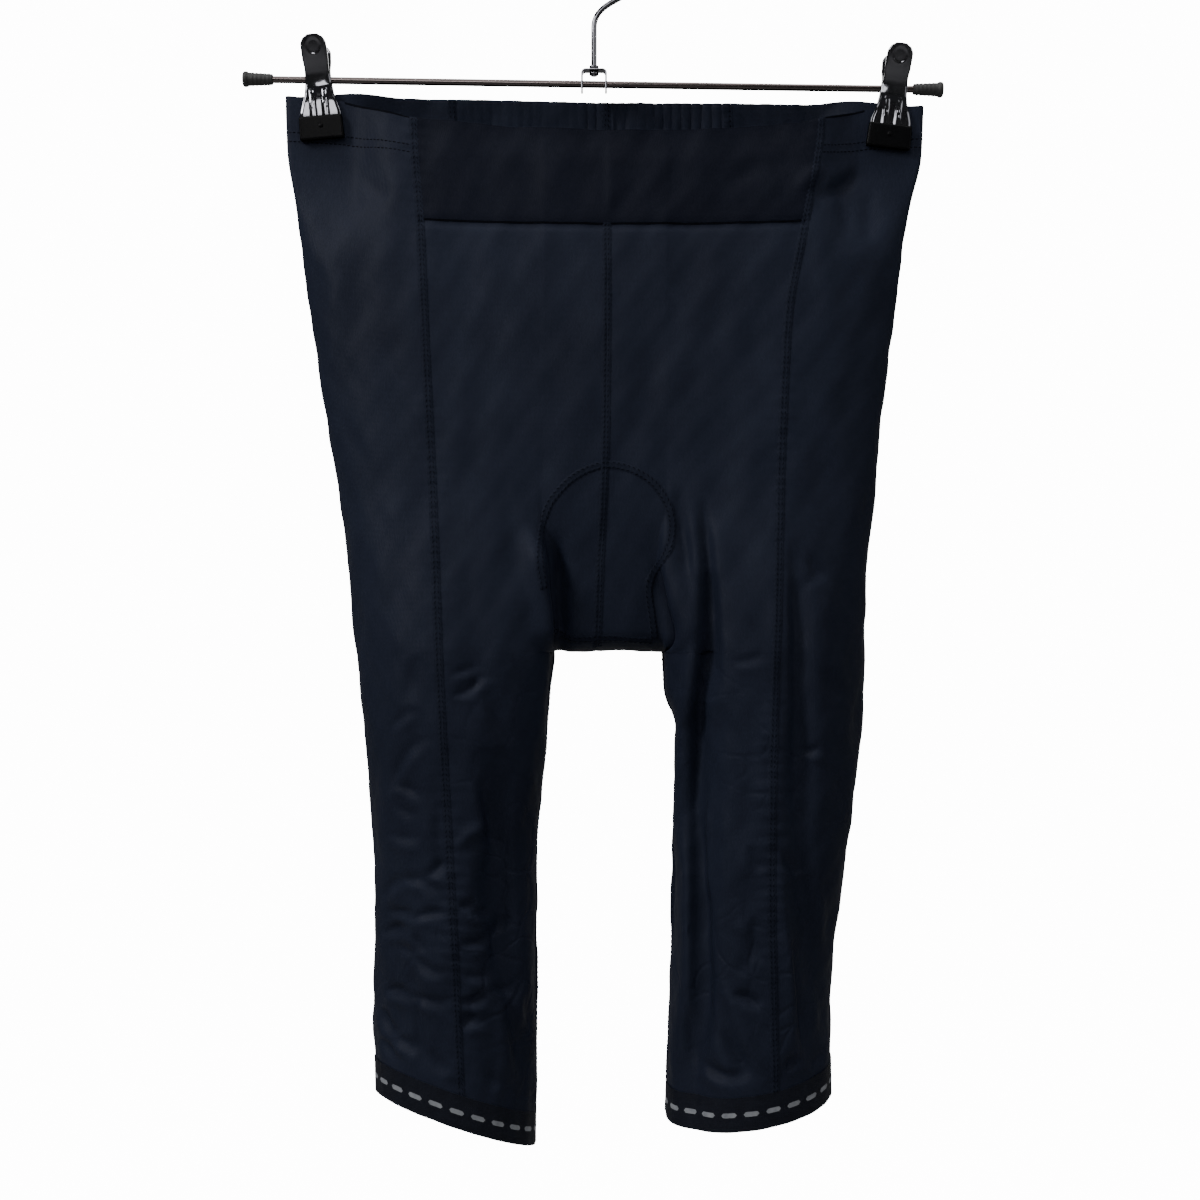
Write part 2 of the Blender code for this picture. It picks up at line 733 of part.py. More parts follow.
def make_hook(material):
    """The stem with its riveted head and collar, then the turn of the hook."""
    head_top = BRACKET_TOP - BRACKET_WALL - FIT
    collar_base = BRACKET_TOP + FIT
    steps = [
        (head_top - COLLAR_HEIGHT, COLLAR_RADIUS),
        (head_top, COLLAR_RADIUS),
        (head_top, WIRE_RADIUS),
        (collar_base, WIRE_RADIUS),
        (collar_base, COLLAR_RADIUS),
        (collar_base + COLLAR_HEIGHT, COLLAR_RADIUS),
        (collar_base + COLLAR_HEIGHT, WIRE_RADIUS),
        (STEM_TOP, WIRE_RADIUS),
    ]
    path = [(0.0, 0.0, z) for z, _ in steps]
    radii = [radius for _, radius in steps]
    centre_z = WIRE_RADIUS - HOOK_RADIUS
    turn = [math.radians(a) for a in np.linspace(HOOK_START, HOOK_END, HOOK_STEPS)]
    circle = [(HOOK_RADIUS * math.cos(a), 0.0, centre_z + HOOK_RADIUS * math.sin(a)) for a in turn]
    start = np.array(path[-1])
    end = np.array(circle[0])
    leave = np.array((-math.sin(turn[0]), 0.0, math.cos(turn[0])))
    for t in (0.25, 0.5, 0.75):
        a = start * (1 - t) ** 3 + 3 * (start + (0, 0, STEM_EASE)) * t * (1 - t) ** 2
        b = 3 * (end - leave * STEM_EASE) * t * t * (1 - t) + end * t**3
        path.append(tuple(a + b))
    path += circle
    radii += [WIRE_RADIUS] * (len(path) - len(radii))
    return sweep("hook", path, radii, (0.0, 1.0, 0.0), material)


def cylinder_cutter(name, centre, direction, radius, length):
    """A round cutter that the viewport shows as wire and the build leaves out."""
    direction = np.array(direction, dtype=float)
    across = np.cross(direction, (0.0, 1.0, 0.0))
    if np.linalg.norm(across) < 0.5:
        across = np.array((1.0, 0.0, 0.0))
    up = np.cross(across, direction)
    corners = ring_points(np.array(centre) - direction * length / 2, across, up, radius)
    corners += ring_points(np.array(centre) + direction * length / 2, across, up, radius)
    n = ROUND_SIDES
    faces = [[k, k + n, (k + 1) % n + n, (k + 1) % n] for k in range(n)]
    faces += [list(range(n)), list(range(2 * n - 1, n - 1, -1))]
    mesh = bpy.data.meshes.new(name)
    mesh.from_pydata([tuple(map(float, corner * MM)) for corner in corners], [], faces)
    obj = bpy.data.objects.new(name, mesh)
    obj.hide_render = True
    obj.display_type = "WIRE"
    bpy.context.scene.collection.objects.link(obj)
    return obj


def cut(obj, cutter):
    modifier = obj.modifiers.new(cutter.name, "BOOLEAN")
    modifier.operation = "DIFFERENCE"
    modifier.object = cutter


def extruded(name, outline, start, end, place, material):
    """A closed outline extruded along x, each corner put in place by a function."""
    corners = [place(start, y, z) for y, z in outline] + [place(end, y, z) for y, z in outline]
    n = len(outline)
    faces = [[k, (k + 1) % n, (k + 1) % n + n, k + n] for k in range(n)]
    faces += [list(range(n - 1, -1, -1)), list(range(n, 2 * n))]
    return add_object(name, np.array(corners), faces, material)


def make_bracket(material):
    """An inverted U of strip that the bar runs through and the hook's stem hangs in."""
    half = BRACKET_WIDTH / 2
    inside = half - BRACKET_WALL
    outline = [
        (-half, BRACKET_BOTTOM),
        (-inside, BRACKET_BOTTOM),
        (-inside, BRACKET_TOP - BRACKET_WALL),
        (inside, BRACKET_TOP - BRACKET_WALL),
        (inside, BRACKET_BOTTOM),
        (half, BRACKET_BOTTOM),
        (half, BRACKET_TOP),
        (-half, BRACKET_TOP),
    ]
    depth = BRACKET_DEPTH / 2
    bracket = extruded("bracket", outline, depth, -depth, lambda x, y, z: (y, x, z), material)
    stem_hole = cylinder_cutter("stem_hole", (0, 0, BRACKET_TOP), (0, 0, 1), WIRE_RADIUS + FIT, 8.0)
    centre = (0.0, 0.0, bar_height(0.0))
    bar_hole = cylinder_cutter("bar_hole", centre, bar_direction(), BAR_RADIUS + FIT, 2 * BRACKET_WIDTH)
    cut(bracket, stem_hole)
    cut(bracket, bar_hole)
    return bracket


def bar_height(x):
    return BAR_CENTRE[1] + (x - BAR_CENTRE[0]) * BAR_SLOPE


def bar_direction():
    length = math.hypot(1.0, BAR_SLOPE)
    return np.array((1.0, 0.0, BAR_SLOPE)) / length


def make_bar(material):
    centre = np.array((BAR_CENTRE[0], 0.0, BAR_CENTRE[1]))
    direction = bar_direction()
    path = [centre + direction * BAR_LENGTH * share for share in (-0.5, 0.0, 0.5)]
    return sweep("bar", path, [BAR_RADIUS] * 3, (0.0, 1.0, 0.0), material)


def make_end_cap(half, material):
    """A flared cap with a blind bore that the end of the bar sits in."""
    centre = np.array((BAR_CENTRE[0], 0.0, BAR_CENTRE[1]))
    outward = bar_direction() * (-1 if half == "right" else 1)
    bore = BAR_RADIUS + FIT
    bore_end = BAR_LENGTH / 2 + FIT
    profile = [
        (bore_end, 0.0),
        (bore_end, bore),
        (bore_end - CAP_BORE_DEPTH, bore),
        (bore_end - CAP_BORE_DEPTH, CAP_INNER_RADIUS),
        (CAP_REACH - 2 * CAP_EDGE, CAP_OUTER_RADIUS - CAP_EDGE / 2),
        (CAP_REACH - CAP_EDGE, CAP_OUTER_RADIUS),
        (CAP_REACH, CAP_OUTER_RADIUS - CAP_EDGE),
        (CAP_REACH, 0.0),
    ]
    across = np.array((0.0, 1.0, 0.0))
    up = np.cross(outward, across)
    corners = [centre + outward * profile[0][0]]
    for reach, radius in profile[1:-1]:
        corners += ring_points(centre + outward * reach, across, up, radius)
    corners.append(centre + outward * profile[-1][0])
    n = ROUND_SIDES
    last = len(corners) - 1
    faces = [[0, 1 + (k + 1) % n, 1 + k] for k in range(n)]
    for i in range(len(profile) - 3):
        for k in range(n):
            a, b = 1 + i * n + k, 1 + i * n + (k + 1) % n
            faces.append([a, b, b + n, a + n])
    base = last - n
    faces += [[last, base + k, base + (k + 1) % n] for k in range(n)]
    return add_object(f"end_cap_{half}", corners, faces, material)


def clip_place(half):
    """Puts a point given from the bar's axis into the world, leaning with its clip."""
    angle = math.radians(CLIP_TILT[half])
    pivot_x = JAW_X[half] - JAW_CENTRE_HEIGHT * math.sin(angle)
    pivot_z = bar_height(pivot_x)

    def place(x, y, z):
        turned_x = x * math.cos(angle) + z * math.sin(angle)
        turned_z = z * math.cos(angle) - x * math.sin(angle)
        return (pivot_x + turned_x, y, pivot_z + turned_z)

    return place


def make_leaf(half, face, material):
    """A pressed leaf of a clip, with a rounded grip at the top and a wide foot in the jaw."""
    side = -1.0 if face == "front" else 1.0
    place = clip_place(half)
    points = []
    normals = []
    rows = [dict(zip(LEAF_COLUMNS, row)) for row in LEAF]
    for row in rows:
        for k in range(LEAF_COLUMNS_ACROSS + 1):
            across = 2.0 * k / LEAF_COLUMNS_ACROSS - 1.0
            outer = side * (row["offset"] + LEAF_WALL / 2)
            points.append(np.array(place(row["half_width"] * across, outer, row["height"])))
            normals.append(np.array((0.0, side, 0.0)))
    width = LEAF_COLUMNS_ACROSS + 1
    faces = []
    for i in range(len(rows) - 1):
        for k in range(LEAF_COLUMNS_ACROSS):
            a = i * width + k
            quad = [a, a + width, a + width + 1, a + 1]
            faces.append(quad if face == "front" else quad[::-1])
    used = np.array(points)
    inner = used - np.array(normals) * LEAF_WALL
    below = len(used)
    made = faces + [[number + below for number in reversed(quad)] for quad in faces]
    made += [[b, a, a + below, b + below] for a, b in open_edges(faces)]
    return add_object(f"clip_{half}_{face}_leaf", np.vstack((used, inner)), made, material)


def make_jaw(half, face, material):
    """A vinyl sleeve with a slot for the foot of its leaf."""
    side = -1.0 if face == "front" else 1.0
    near, far = JAW_FACE, JAW_FACE + JAW_DEPTH
    slot_near = (near + far - JAW_SLOT) / 2
    slot_far = slot_near + JAW_SLOT
    floor = JAW_BOTTOM + JAW_FLOOR
    outline = [
        (near, JAW_BOTTOM),
        (far, JAW_BOTTOM),
        (far, JAW_TOP),
        (slot_far, JAW_TOP),
        (slot_far, floor),
        (slot_near, floor),
        (slot_near, JAW_TOP),
        (near, JAW_TOP),
    ]
    outline = [(side * y, z) for y, z in outline]
    if face == "front":
        outline = outline[::-1]
    half_width = JAW_WIDTH / 2
    return extruded(f"clip_{half}_{face}_jaw", outline, -half_width, half_width, clip_place(half), material)


def make_hanger(materials):
    make_hook(materials["chrome"])
    make_bracket(materials["chrome"])
    make_bar(materials["chrome"])
    for half in ("right", "left"):
        make_end_cap(half, materials["cap_rubber"])
        for face in ("front", "back"):
            make_leaf(half, face, materials["chrome"])
            make_jaw(half, face, materials["vinyl"])


def main():
    clear_scene()
    materials = make_materials()
    make_tights(materials)
    make_hanger(materials)


main()
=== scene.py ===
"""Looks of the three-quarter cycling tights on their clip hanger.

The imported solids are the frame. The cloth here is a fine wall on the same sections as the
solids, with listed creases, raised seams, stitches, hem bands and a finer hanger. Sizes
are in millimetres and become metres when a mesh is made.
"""

import math

import bmesh
import bpy
import numpy as np
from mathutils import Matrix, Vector


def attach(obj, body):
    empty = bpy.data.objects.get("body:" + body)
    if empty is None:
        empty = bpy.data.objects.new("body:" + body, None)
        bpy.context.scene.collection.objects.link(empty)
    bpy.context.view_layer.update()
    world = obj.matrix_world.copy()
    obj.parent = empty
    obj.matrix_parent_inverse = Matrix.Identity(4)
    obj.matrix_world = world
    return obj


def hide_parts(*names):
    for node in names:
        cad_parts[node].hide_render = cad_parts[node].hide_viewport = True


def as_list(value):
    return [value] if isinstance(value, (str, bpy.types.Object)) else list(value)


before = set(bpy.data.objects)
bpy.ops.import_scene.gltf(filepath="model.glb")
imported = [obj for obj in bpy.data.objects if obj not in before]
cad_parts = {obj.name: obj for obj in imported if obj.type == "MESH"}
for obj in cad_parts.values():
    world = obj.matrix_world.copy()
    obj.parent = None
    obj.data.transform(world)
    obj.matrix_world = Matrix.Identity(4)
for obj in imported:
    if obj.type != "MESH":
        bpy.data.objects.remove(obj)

MM = 0.001
HALVES = ("right", "left")
SIDE = {"front": -1.0, "back": 1.0}

# Cloth walls
WALL = 1.2
CASING_WALL = 2.4
CUFF_WALL = 1.8
CUFF_LIFT = 0.5
PAD_WALL = 4.0
PAD_CLEARANCE = 0.4
PAD_EDGE = 0.6
PAD_SLOPE = 14.0

# Heights of the main lines, before the waist's sag and the hem's slant
WAIST_TOP = -114.0
CASING_DEPTH = 27.0
YOKE_LINE = -185.0
YOKE_WALL = 2.0
YOKE_LIFT = 0.35
PAD_TOP = -337.0
PAD_SHOULDER = -373.0
CROTCH = -446.0
CROTCH_ROUNDING = 12.0
# Below the crotch the flat inner side of each leg narrows by this share, down to a height
INNER_TAPER = 0.75
INNER_END = -560.0
CUFF_TOP = {"right": -704.0, "left": -694.5}
CUFF_DEPTH = 20.0

# Sections common to both halves: how far the cloth stands forward and back of the hanger's
# plane at the crown of each thigh and at the centre seams
BODY_COLUMNS = ("z", "centre", "front", "back", "mid_front", "mid_back")
BODY = (
    (-112, 7.7, 13, 15, 15, 17),
    (-145, 7.7, 17, 20, 19, 21),
    (-190, 7.7, 22, 26, 24, 27),
    (-250, 7.7, 27, 33, 28, 33),
    (-310, 7.2, 31, 39, 31, 36),
    (-350, 6.0, 34, 43, 31, 36),
    (-390, 4.0, 41, 47, 28, 34),
    (-430, 2.4, 48, 50, 24, 30),
    (-446, 1.8, 50, 51, 22, 28),
    (-480, 1.8, 51, 51, 22, 28),
    (-540, 1.8, 49, 49, 22, 28),
    (-600, 1.8, 47, 47, 22, 28),
    (-660, 1.8, 46, 46, 22, 28),
    (-760, 1.8, 45, 45, 22, 28),
)

# Outline of each half: the crease beside the pad, which is the inner edge of the leg below
# the crotch, and the outer edge
OUTLINE_COLUMNS = ("z", "inner", "outer")
OUTLINE = {
    "right": (
        (-112, -30, -185.4),
        (-145, -30, -184.5),
        (-175, -30, -180),
        (-235, -30, -171.6),
        (-295, -30, -162.6),
        (-355, -31, -153),
        (-400, -26, -147),
        (-446, -25, -142.2),
        (-475, -27.6, -139.2),
        (-505, -29.4, -136.8),
        (-535, -33, -134.4),
        (-565, -34.8, -132.6),
        (-625, -34.2, -131.4),
        (-685, -34.8, -131.4),
        (-760, -36, -130),
    ),
    "left": (
        (-112, 43, 198),
        (-145, 43, 197),
        (-175, 43, 190.8),
        (-235, 43, 181.2),
        (-295, 43, 174),
        (-355, 43, 168.6),
        (-400, 36, 164),
        (-446, 42, 162),
        (-469, 43, 161),
        (-492, 50.5, 160),
        (-535, 50, 156),
        (-565, 48.6, 151.8),
        (-595, 47.4, 147.6),
        (-655, 45, 141.6),
        (-760, 42.6, 142.2),
    ),
}

# Where the long seams run, as x on the front and on the back
SEAM_COLUMNS = ("z", "side_front", "side_back")
SEAMS = {
    "right": (
        (-112, -107, -86),
        (-190, -102, -84),
        (-254, -99, -82),
        (-420, -90, -82),
        (-508, -85.8, -82),
        (-570, -82.4, -83),
        (-690, -77, -83),
        (-760, -74, -83),
    ),
    "left": (
        (-112, 135, 82),
        (-190, 124, 86),
        (-254, 113.6, 90),
        (-420, 106, 98),
        (-508, 102.7, 101),
        (-570, 102.3, 99),
        (-690, 104.7, 94),
        (-760, 106, 93),
    ),
}

# The front of the waist hangs below the back: drop against the share of the way from the
# centre seam to the outer edge
SAG_SHARE = (0.0, 0.3, 0.6, 0.82, 1.0)
SAG_DROP = (-23.0, -21.5, -16.5, -5.0, -2.0)
SAG_LEVEL = (-235.0, -185.0, -141.0, -114.0)
SAG_KEPT = (0.0, 0.36, 0.62, 1.0)
BACK_RISE = 1.5
BACK_EDGE_START = 0.7

# The hem hangs at a slant: how much higher than the mean the outer side and the front are
HEM_OUTER = {"right": 16.5, "left": 7.0}
HEM_FRONT = {"right": 6.0, "left": -6.0}
HEM_START = -560.0

# Each clip presses the two layers of the waist flat
JAW_X = {"right": -162.7, "left": 176.2}
PRESSED_HALF = 2.9
PRESSED_WIDTH = 15.5
PRESSED_FADE = 30.0
PRESSED_BOTTOM = -152.0
PRESSED_END = -215.0

# Creases fade near a jaw, and all unevenness is lower on the hem bands
JAW_MIDDLE = -140.0
JAW_CALM = 14.0
JAW_CALM_FADE = 12.0
JAW_CALM_STRETCH = 0.6
CUFF_CALM = 14.0
CUFF_SHARE = 0.25

# The largest folds, each a trough or, with a negative depth, a ridge on one face
FOLD_COLUMNS = ("half", "face", "top_x", "top_z", "bottom_x", "bottom_z", "depth", "width")
FOLDS = (
    ("left", "front", 66, -400, 58, -720, 8, 8),
    ("left", "front", 116, -405, 118, -590, 4, 8),
    ("left", "front", 122, -575, 128, -700, 4, 9),
    ("left", "back", 70, -420, 76, -700, 5, 9),
    ("left", "back", 132, -470, 126, -690, 4, 9),
    ("right", "front", -57, -500, -52, -640, 5, 8),
    ("right", "front", -112, -560, -116, -690, 3, 9),
    ("right", "back", -60, -430, -56, -680, 5, 9),
    ("right", "back", -112, -500, -108, -660, 4, 9),
)

# A fold dies away where its face is this near the hanger's plane
FOLD_EDGE = 15.0

# Hanger
BAR_LENGTH = 402.0
BAR_RADIUS = 2.1
BAR_STEPS = 60
BAR_CENTRE = (-0.6, -105.9)
BAR_SLOPE = -0.0152
CAP_BORE_DEPTH = 9.0
CAP_INNER_RADIUS = 3.3
CAP_OUTER_RADIUS = 4.7
CAP_REACH = 210.0
CAP_RING_HEIGHT = 0.16
CAP_RING_TURN = 2.6
CAP_ROUNDING = 1.4
WIRE_RADIUS = 1.7
HOOK_RADIUS = 30.0
HOOK_START = -62.0
HOOK_END = 212.0
STEM_TOP = -72.0
STEM_EASE = 9.0
STEM_SUNK = 4.0
HOOK_STEPS = 90
HOOK_TIP_ANGLES = (30.0, 55.0, 75.0, 86.0)
COLLAR_RADIUS = 2.8
COLLAR_HEIGHT = 2.0
COLLAR_EDGE = 0.5
BRACKET_WIDTH = 15.6
BRACKET_DEPTH = 8.0
BRACKET_TOP = -97.0
BRACKET_BOTTOM = -110.4
BRACKET_WALL = 1.2
BRACKET_BEND = 2.2
BRACKET_FLATNESS = (0.25, 0.4)
FIT = 0.3

# Clip leaves, measured from the bar's axis: height, half width, distance of the middle of the
# sheet from the hanger's plane
LEAF_COLUMNS = ("height", "half_width", "offset")
LEAF = (
    (24.0, 3.6, 13.2),
    (22.4, 6.0, 12.6),
    (18.5, 7.7, 11.4),
    (12.0, 7.7, 8.6),
    (6.0, 7.3, 5.2),
    (1.5, 7.6, 3.5),
    (-3.0, 7.9, 3.3),
    (-9.0, 8.6, 4.3),
    (-16.0, 10.6, 5.2),
    (-22.0, 12.0, 5.4),
    (-33.0, 12.0, 5.4),
)
LEAF_WALL = 1.0
CLIP_TILT = {"right": -5.0, "left": 7.0}
JAW_WIDTH = 26.4
JAW_TOP = -22.8
JAW_BOTTOM = -37.0
JAW_FACE = 3.35
JAW_DEPTH = 4.1
JAW_CENTRE_HEIGHT = -30.0
LEAF_RIBS = (-4.6, -2.9, 2.9, 4.6)
LEAF_BOW = 0.9
LEAF_BOW_HEIGHTS = (-16.0, 2.0)
LEAF_LIP = 0.5
LEAF_LIP_START = 0.86
DIMPLE_HEIGHT = 17.5
DIMPLE_RADIUS = 4.6
DIMPLE_DEPTH = 0.55
DIMPLE_RIM = 0.22
RIB_BOTTOM = (-25.0, -23.0)
RIB_TOP = (-7.5, -4.5)
RIB_HEIGHT = 0.55
RIB_WIDTH = 0.55
LEAF_ROWS = 96
LEAF_STEPS = 45
JAW_BEVEL = 1.35
JAW_TAPER = 0.03
RIVET_RADIUS = 1.5
RIVET_HEIGHT = 0.7
RIVET_SINK = 0.15
RIVET_PLACE = -29.0

# Where the sewn lines run
CASING_STITCHES = (-134.5, -140.0)
PAD_OUTLINE = (
    (-22.0, -438.0),
    (-28.5, -409.4),
    (-31.4, -384.8),
    (-27.4, -362.6),
    (-16.8, -348.0),
    (-5.2, -339.9),
    (7.7, -336.4),
    (21.1, -338.7),
    (34.0, -346.3),
    (42.7, -358.6),
    (45.6, -372.6),
    (42.7, -387.2),
    (34.6, -400.0),
    (32.2, -409.4),
    (34.0, -424.0),
    (35.7, -438.0),
)
CROTCH_SEAM = ((-20.0, -439.0), (0.0, -438.0), (20.0, -438.0), (34.0, -439.0))
PAD_OUTLINE_BACK = (
    (-24.0, -438.0),
    (-27.0, -415.0),
    (-34.0, -388.0),
    (-38.0, -362.0),
    (-32.0, -336.0),
    (-16.0, -316.0),
    (7.0, -309.0),
    (30.0, -316.0),
    (44.0, -336.0),
    (50.0, -362.0),
    (45.0, -388.0),
    (37.0, -415.0),
    (34.0, -438.0),
)

# How many columns from the centre seam, or past the inner seam in front, hold the pad's outline
FRONT_REACH = 30
BACK_REACH = 45

# Plain marks printed on the hem bands
MARK_LENGTH = 9.0
MARK_HEIGHT = 2.8
MARK_PITCH = 13.0
MARK_START = 4.0
MARK_LIFT = 0.62
MARK_STEPS = 9

# The plain reflective strip on the outer side of the left leg
GLINT_ENDS = (-471.0, -483.0)
GLINT_ACROSS = (0.5, 5.0)
GLINT_LIFT = 0.25

# Cut sizes of the panels in metres: width and length, flat area, and what holds each
SHEETS = (
    ("waist_yoke", (0.25, 0.065), 0.0150, "jaws"),
    ("front_right", (0.15, 0.52), 0.0520, ["cloth_waist_yoke"]),
    ("front_left", (0.15, 0.51), 0.0510, ["cloth_waist_yoke"]),
    ("side_right", (0.19, 0.60), 0.0960, "jaws"),
    ("side_left", (0.19, 0.59), 0.0950, "jaws"),
    ("back_right", (0.16, 0.60), 0.0560, "jaws"),
    ("back_left", (0.16, 0.59), 0.0550, "jaws"),
)

# Materials, with linear colours. Knits: material, dark and light end of their slow changes of
# colour, roughness, bump of the knit
KNITS = {
    "cloth": ("knit_black_navy", (0.0090, 0.0113, 0.0208), (0.0130, 0.0164, 0.0292), 0.52, 0.25),
    "yoke": ("knit_waist_yoke", (0.0034, 0.0044, 0.0096), (0.0048, 0.0062, 0.0130), 0.60, 0.25),
    "seam": ("seam_thread_cover", (0.0072, 0.0092, 0.0172), (0.0108, 0.0138, 0.0248), 0.66, 0.5),
    "pad": ("pad_microfibre", (0.012, 0.013, 0.016), (0.018, 0.019, 0.024), 0.85, 0.25),
}
KNIT_SPECULAR = 0.06
KNIT_SCALE = 9.0
KNIT_PITCH = (0.0009, 0.0007)
ELASTIC_PITCH = (0.0014, 0.0011)
ELASTIC_BUMP = 0.35

# Metals: material, colour, roughness, bump of the scratches
METALS = {
    "chrome": ("chrome_plate", (0.11, 0.11, 0.12), 0.08, 0.03),
    "bar": ("bar_plated_steel", (0.10, 0.084, 0.082), 0.18, 0.05),
}
METAL_SCALE = 260.0
METAL_ROUGHNESS = (0.7, 1.5)

# Others: material, colour, roughness, specular level; and the scale, dark and light end of their
# changes of colour
OTHERS = {
    "mark": ("mark_grey_print", (0.30, 0.31, 0.33), 0.55, 0.5),
    # Black thread, which also paints the shadow strips along the waist's top edge and the yoke's fold
    "thread": ("black_thread_and_painted_shadow", (0.0018, 0.0024, 0.0048), 0.8, 0.04),
    "glint": ("reflective_film", (0.62, 0.64, 0.66), 0.3, 0.5),
    "elastic": ("elastic_hem", (0.004, 0.005, 0.010), 0.6, 0.15),
    "vinyl": ("vinyl_black", (0.0012, 0.0012, 0.0016), 0.38, 0.07),
    "cap_rubber": ("rubber_black", (0.010, 0.010, 0.010), 0.6, 0.5),
}
CHANGES = {
    "mark": (240.0, (0.15, 0.16, 0.18), (0.24, 0.25, 0.27)),
    "thread": (300.0, (0.0012, 0.0016, 0.0032), (0.0026, 0.0034, 0.0066)),
    "glint": (400.0, (0.55, 0.57, 0.60), (0.68, 0.70, 0.72)),
    "elastic": (160.0, (0.0030, 0.0040, 0.0085), (0.0052, 0.0068, 0.0130)),
    "vinyl": (500.0, (0.0010, 0.0010, 0.0014), (0.0018, 0.0019, 0.0024)),
    "cap_rubber": (700.0, (0.007, 0.007, 0.007), (0.014, 0.014, 0.014)),
}
GRAIN_BUMPS = {"vinyl": 0.12, "cap_rubber": 0.2}
FINE_DISTANCE = 0.0001
RAMP_ENDS = (0.3, 0.7)

# Fine wrinkles of the legs, in metres or cells to the metre
CRUMPLE_SCALE = 38.0
CRUMPLE_EDGE = 0.10
CRUMPLE_WARP_SCALE = 30.0
CRUMPLE_WARP = 0.035
CRUMPLE_PATCH_SCALE = 14.0
CRUMPLE_PATCHES = (0.42, 0.62)
CRUMPLE_TOP = -0.42
CRUMPLE_FULL = -0.58
CRUMPLE_DEPTH = 0.0011
CRUMPLE_STRENGTH = 0.45

# Studio, in metres and watts
CAMERA_PLACE = (0.0036, -1.1, -0.4152)
CAMERA_LENS = 55.0
CAMERA_SENSOR = 36.0
STAGE_FLOOR = -1.15
STAGE_RADIUS = 3.4
STAGE_BEND = 1.1
STAGE_TOP = 2.0
STAGE_GLOW = 14.0
STAGE_COLOUR = (0.40, 0.40, 0.40)
STAGE_START = 0.05
STAGE_SIDES = 24
WORLD_COLOUR = (0.93, 0.95, 1.0, 1.0)
WORLD_STRENGTH = 0.10

# Lamps: name, place, target, size, power
LIGHTS = (
    ("key", (-1.5, -1.0, 0.85), (0.0, 0.0, -0.25), (0.5, 0.7), 33.0),
    ("fill", (1.7, -1.1, 0.5), (0.0, 0.0, -0.25), (0.8, 1.0), 6.5),
    ("front", (-0.3, -2.0, 0.7), (0.0, 0.0, -0.3), (0.6, 0.6), 10.0),
    ("top", (0.0, -0.3, 1.3), (0.0, 0.0, -0.2), (1.4, 0.9), 16.0),
    ("back", (0.6, 2.0, 0.8), (0.0, 0.0, -0.3), (1.4, 1.4), 20.0),
)

# Columns of the fine cloth across each stretch of a section, from front centre to back centre
STRETCHES = (
    ("bridge_front", 18),
    ("front", 54),
    ("side_front", 22),
    ("clip_front", 22),
    ("clip_back", 20),
    ("side_back", 24),
    ("back", 46),
    ("bridge_back", 18),
)
CLIP_STRETCH = 37.5
ROW_STEP = 2.8
TUCK_ROWS = 8
LEG_ROWS = 190
CUFF_ROWS = 10
SECTION_STEPS = {"bridge": 12, "inner": 3, "quarter": 24}
SMOOTHING_PASSES = 4
WELD_STEPS_PER_MM = 20.0

